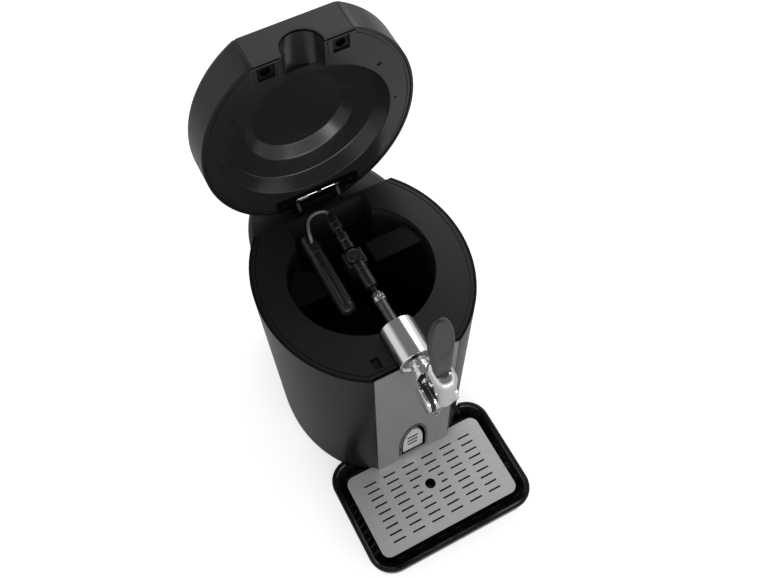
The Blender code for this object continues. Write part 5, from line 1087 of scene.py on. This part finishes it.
class PushButton(bpy.types.Operator):
    """Arched tongue with dark bars filling its three grooves as painted groove shade, in its dark surround
    """
    bl_idname = "keg.push_button"
    bl_label = "Push button"

    def execute(self, context):
        tongue = arch("push_tongue", 15.6, 40.0, 110.0, -142.2, -135.9, rise=48.0)
        softened(tongue, 1.4, 4)
        bars = []
        for z in (62.0, 74.0, 86.0):
            groove = block("groove", (-9.2, -146.0, z - 2.9), (7.2, -138.4, z + 2.9))
            cut(tongue, softened(groove, 0.9, 3))
            # A dark rubber bar fills each groove almost flush: painted shade of the groove
            bars.append(softened(block("grip_bars", (-9.0, -142.1, z - 2.7), (7.0, -138.5, z + 2.7)),
                                 0.6, 3))
        shade_bars = joined(*bars)
        shown(shade_bars, "button", "rubber")
        joined(tongue, block("stem", (-5.0, -137.5, 69.0), (5.0, -122.7, 79.0)))
        shown(tongue, "button", "silver_plastic", ("front_button",))
        surround = arch("arch_surround", 22.2, 34.8, 130.2, -143.9, -125.9)
        cut(surround, arch("tool", 19.0, 38.0, 127.0, AHEAD, -129.1),
            block("tool", (-5.3, AHEAD, 68.7), (5.3, -120.0, 79.3)))
        softened(surround, 0.5, 3)
        shown(surround, "base", "gloss_black", ("button_bezel",))
        return {"FINISHED"}


class KegCoupler(bpy.types.Operator):
    """Coupler with its knob, gas and beer fittings, stem, clamp and clear tube"""
    bl_idname = "keg.coupler"
    bl_label = "Keg coupler"

    def execute(self, context):
        body = softened(block("coupler_block", (-13.0, 5.3, 309.0), (13.0, 28.7, 331.5)), 2.4, 5)
        joined(body, spun("skirt", [(0.0, 294.0), (13.8, 294.0), (15.0, 295.4), (15.0, 316.0),
                                    (0.0, 316.0)], (0.0, COUPLER_Y, 0.0), steps=64))
        cut(body, rod("tool", 9.0, (0.0, COUPLER_Y, 290.0), (0.0, COUPLER_Y, 310.0), 48))
        shown(body, "base", "black_plastic", ("coupler_body",))
        knob = spun("coupler_knob", [(0.0, 331.8), (10.0, 331.8), (10.0, 335.4), (9.3, 336.4),
                                     (8.2, 336.4), (7.6, 335.6), (3.0, 335.6), (2.4, 336.1),
                                     (0.0, 336.3)], (0.0, COUPLER_Y, 0.0), steps=64)
        shown(knob, "base", "inner_plastic", ("coupler_cap",))
        line = (0.0, 0.0, TAP_Z)
        gas = spun("gas_fitting", [(0.0, 29.0), (7.6, 29.0), (7.6, 37.0), (6.4, 38.0), (6.4, 42.0),
                                   (7.6, 43.0), (7.6, 53.2), (5.2, 54.6), (5.2, 61.2), (6.6, 61.8),
                                   (7.6, 62.4), (7.6, 70.0), (6.9, 70.7), (7.6, 71.4), (7.6, 80.6),
                                   (6.8, 83.2), (5.2, 87.0), (0.0, 87.0)], line, "Y", 56)
        shown(gas, "base", "black_plastic", ("coupler_gas_fitting",))
        beer = spun("beer_fitting", [(0.0, 5.0), (8.0, 5.0), (8.0, -4.0), (7.2, -5.0), (7.2, -8.0),
                                     (8.0, -9.0), (8.0, -26.0), (7.4, -30.0), (6.4, -31.0),
                                     (4.1, -31.0), (4.1, -23.0), (0.0, -23.0)], line, "Y", 56)
        shown(beer, "base", "black_plastic", ("coupler_beer_fitting",))
        stem = spun("stem", [(0.0, -23.3), (4.0, -23.3), (4.0, -33.5), (3.4, -34.2), (3.4, -36.0),
                             (4.0, -36.8), (4.0, -57.4), (3.4, -58.0), (0.0, -58.0)], line, "Y", 40)
        shown(stem, "base", "dark_steel", ("outlet_stem",))
        tube = spun("tap_tube", [(4.6, -42.0), (6.5, -42.0), (6.5, -91.7), (4.6, -91.7)], line, "Y", 64,
                    rounding=0.3, closed=True)
        shown(tube, "base", "clear_tube", ("beer_tube",))
        clamp = spun("tube_clamp", [(6.6, -48.0), (8.0, -48.0), (8.0, -54.0), (6.6, -54.0)], line, "Y",
                     64, rounding=0.4, closed=True)
        for side in (-1.0, 1.0):
            x = side * 3.25
            joined(clamp, softened(block("ear", (x - 0.8, -53.0, 336.6), (x + 0.8, -49.0, 342.4)),
                                   0.4, 2))
        shown(clamp, "base", "steel", ("hose_clamp",))
        return {"FINISHED"}


class GasSide(bpy.types.Operator):
    """Regulator head, ribbed cartridge sleeve and the thin gas hose"""
    bl_idname = "keg.gas_side"
    bl_label = "Gas cartridge side"

    def execute(self, context):
        line = (GAS_X, 0.0, GAS_Z)
        head = spun("regulator_head", [(0.0, 74.0), (8.6, 74.0), (10.1, 72.8), (10.5, 71.0),
                                       (10.5, 46.0), (9.8, 45.2), (9.8, 43.0), (10.5, 42.2),
                                       (10.5, 25.3), (0.0, 25.3)], line, "Y", 64)
        joined(head, rod("nipple", 3.2, (GAS_X, 59.0, GAS_Z), (GAS_X, 59.0, 335.1), 32))
        shown(head, "base", "black_plastic", ("gas_head",))
        sleeve = spun("ribbed_sleeve", [(0.0, -41.75), (9.3, -41.75), (9.3, 25.0), (10.5, 25.0),
                                        (10.5, -39.0), (9.7, -42.6), (7.6, -45.4), (4.4, -46.8),
                                        (0.0, -47.0)], line, "Y", 64)
        for x in (-4.6, 4.6):
            rib = rod("rib", 2.7, (GAS_X + x, -36.0, 330.3), (GAS_X + x, 24.6, 330.3), 24)
            joined(sleeve, softened(rib, 1.6, 4))
        cut(sleeve, rod("tool", 9.3, (GAS_X, -41.75, GAS_Z), (GAS_X, 26.0, GAS_Z), 64))
        shown(sleeve, "base", "black_plastic", ("gas_sleeve",))
        points = run_through(HOSE_ROUTE, 5)
        hose = wire("gas_line", points, 2.0)
        shown(hose, "base", "milky_hose", ("gas_hose",))
        return {"FINISHED"}


def run_through(route, steps):
    """Points on a smooth curve through a route."""
    knots = [at(*point) for point in route]
    knots = [2.0 * knots[0] - knots[1]] + knots + [2.0 * knots[-1] - knots[-2]]
    points = []
    for a, b, c, d in zip(knots, knots[1:], knots[2:], knots[3:]):
        for index in range(steps):
            t = index / steps
            points.append(0.5 * (2.0 * b + (c - a) * t + (2.0 * a - 5.0 * b + 4.0 * c - d) * t ** 2
                                 + (3.0 * b - a - 3.0 * c + d) * t ** 3))
    return points + [knots[-2]]


class InnerFinishes(bpy.types.Operator):
    """Finishes of the model's own pieces that keep their shape"""
    bl_idname = "keg.inner_finishes"
    bl_label = "Inner finishes"

    def execute(self, context):
        used = {
            "inner_plastic": ("chamber_liner", "button_switch", "fan_rotor", "rear_grille"),
            "grey_plastic": ("power_inlet", "fan_frame"),
            "dark_steel": ("hinge_bracket", "lid_hinge_leaf", "strike_left", "strike_right",
                           "lid_magnet_left", "lid_magnet_right"),
            # The bracket and ledge take the darker copy of the black plastic, painted shade
            "shaded_body_black": ("gas_bracket", "keg_ledge"),
            "steel": ("gas_cartridge", "valve_spindle"),
            "aluminium": ("cold_plate", "heat_sink"),
            "ceramic_white": ("thermoelectric_module",),
            "board_green": ("power_board",),
            "foam": ("insulation_jacket",),
        }
        for name, nodes in used.items():
            for key in nodes:
                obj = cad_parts[key]
                if not obj.material_slots:
                    obj.data.materials.append(None)
                for slot in obj.material_slots:
                    slot.material = finish(name)
        return {"FINISHED"}


class Stage(bpy.types.Operator):
    """Pale floor, soft lamps, room light and the camera at the photograph's angle"""
    bl_idname = "keg.stage"
    bl_label = "Stage"

    def execute(self, context):
        look = context.scene.keg_stage
        bare()
        bpy.ops.mesh.primitive_plane_add(size=14.0, location=(0.0, 0.0, -0.0004))
        floor = settled("floor")
        floor.data.materials.append(self.floor_paper(tuple(look.floor)))
        self.room(look.world_light)
        for name, place, aim, size, power in (
                ("key", (0.0, -2.2, 0.8), (0.0, 0.0, 0.35), (3.2, 0.45), look.key_power),
                ("fill", (1.1, 1.2, 1.5), (0.0, 0.0, 0.3), (1.6, 1.3), look.fill_power)):
            light = bpy.data.lights.new(name, "AREA")
            light.shape = "RECTANGLE"
            light.size, light.size_y = size
            light.energy = power
            lamp = bpy.data.objects.new(name, light)
            lamp.location = place
            lamp.rotation_euler = (Vector(aim) - Vector(place)).to_track_quat("-Z", "Y").to_euler()
            context.collection.objects.link(lamp)
        lens = bpy.data.cameras.new("camera")
        lens.lens = look.lens
        lens.sensor_width = 36.0
        lens.clip_start = 0.05
        lens.clip_end = 60.0
        camera = bpy.data.objects.new("camera", lens)
        right = Vector((0.883897, -0.467568, -0.010301))
        upward = Vector((0.410033, 0.764163, 0.497923))
        back = Vector((-0.224941, -0.444336, 0.86716))
        turn = Matrix((right, upward, back)).transposed().to_4x4()
        camera.matrix_world = Matrix.Translation(at(-234.156, -527.237, 1279.484)) @ turn
        context.collection.objects.link(camera)
        context.scene.camera = camera
        context.scene.view_settings.view_transform = "Standard"
        return {"FINISHED"}

    def floor_paper(self, colour):
        """White paper that keeps the object's shadow."""
        material, tree, shader = blank("floor_paper")
        shader.inputs["Base Color"].default_value = (*colour, 1.0)
        shader.inputs["Roughness"].default_value = 0.9
        shader.inputs["Specular IOR Level"].default_value = 0.1
        paths = tree.nodes.new("ShaderNodeLightPath")
        seen = tree.nodes.new("ShaderNodeMath")
        seen.operation = "MULTIPLY"
        seen.inputs[1].default_value = 0.6
        tree.links.new(paths.outputs["Is Camera Ray"], seen.inputs[0])
        shader.inputs["Emission Color"].default_value = (1.0, 1.0, 1.0, 1.0)
        tree.links.new(seen.outputs[0], shader.inputs["Emission Strength"])
        return material

    def room(self, strength):
        """Soft room light, paler round the walls than overhead, and white to the camera."""
        world = bpy.context.scene.world or bpy.data.worlds.new("room")
        bpy.context.scene.world = world
        world.use_nodes = True
        tree = world.node_tree
        tree.nodes.clear()
        output = tree.nodes.new("ShaderNodeOutputWorld")
        place = tree.nodes.new("ShaderNodeTexCoord")
        parts = tree.nodes.new("ShaderNodeSeparateXYZ")
        tree.links.new(place.outputs["Generated"], parts.inputs["Vector"])
        fall = node(tree, "ShaderNodeMapRange", (0, 0), From_Min=0.45, From_Max=0.8,
                    To_Min=strength * 1.5, To_Max=strength * 0.35)
        fall.interpolation_type = "SMOOTHSTEP"
        tree.links.new(parts.outputs["Z"], fall.inputs["Value"])
        soft = tree.nodes.new("ShaderNodeBackground")
        tree.links.new(fall.outputs["Result"], soft.inputs["Strength"])
        white = tree.nodes.new("ShaderNodeBackground")
        white.inputs["Color"].default_value = (1.0, 1.0, 1.0, 1.0)
        soft.inputs["Color"].default_value = (1.0, 1.0, 1.0, 1.0)
        paths = tree.nodes.new("ShaderNodeLightPath")
        mix = tree.nodes.new("ShaderNodeMixShader")
        tree.links.new(paths.outputs["Is Camera Ray"], mix.inputs["Fac"])
        tree.links.new(soft.outputs["Background"], mix.inputs[1])
        tree.links.new(white.outputs["Background"], mix.inputs[2])
        tree.links.new(mix.outputs["Shader"], output.inputs["Surface"])


PIECES = (BodySides, SteelFront, TopPlate, RearCover, BaseSkirt, LidCover, LidBlock, LidInside,
          HingeFittings, TapBody, TapLever, DripTray, DripPlate, PushButton, KegCoupler, GasSide,
          InnerFinishes, Stage)
GROUPS = {"keg_plastics": KegPlastics, "keg_metals": KegMetals, "keg_shapes": KegShapes,
          "keg_stage": KegStage}


class KegPanel(bpy.types.Panel):
    """Lists the dispenser's pieces and what can be changed"""
    bl_idname = "VIEW3D_PT_keg_dispenser"
    bl_label = "Keg dispenser"
    bl_space_type = "VIEW_3D"
    bl_region_type = "UI"
    bl_category = "Keg dispenser"

    def draw(self, context):
        layout = self.layout
        for name in GROUPS:
            box = layout.box()
            look = getattr(context.scene, name)
            for key in look.bl_rna.properties.keys():
                if key not in ("rna_type", "name"):
                    box.prop(look, key)
        column = layout.column(align=True)
        for piece in PIECES:
            column.operator(piece.bl_idname)


def register():
    """Register the classes and hang their settings on the scene."""
    for made in (*GROUPS.values(), *PIECES, KegPanel):
        bpy.utils.register_class(made)
    for name, made in GROUPS.items():
        setattr(bpy.types.Scene, name, bpy.props.PointerProperty(type=made))


def unregister():
    """Take the settings and classes away again."""
    for name in GROUPS:
        delattr(bpy.types.Scene, name)
    for made in reversed((*GROUPS.values(), *PIECES, KegPanel)):
        bpy.utils.unregister_class(made)


def main():
    """Build every piece and the stage."""
    register()
    make_finishes()
    for piece in PIECES:
        group, action = piece.bl_idname.split(".")
        if "FINISHED" not in getattr(getattr(bpy.ops, group), action)():
            raise RuntimeError(f"{piece.bl_label} didn't finish")


if __name__ == "__main__":
    main()
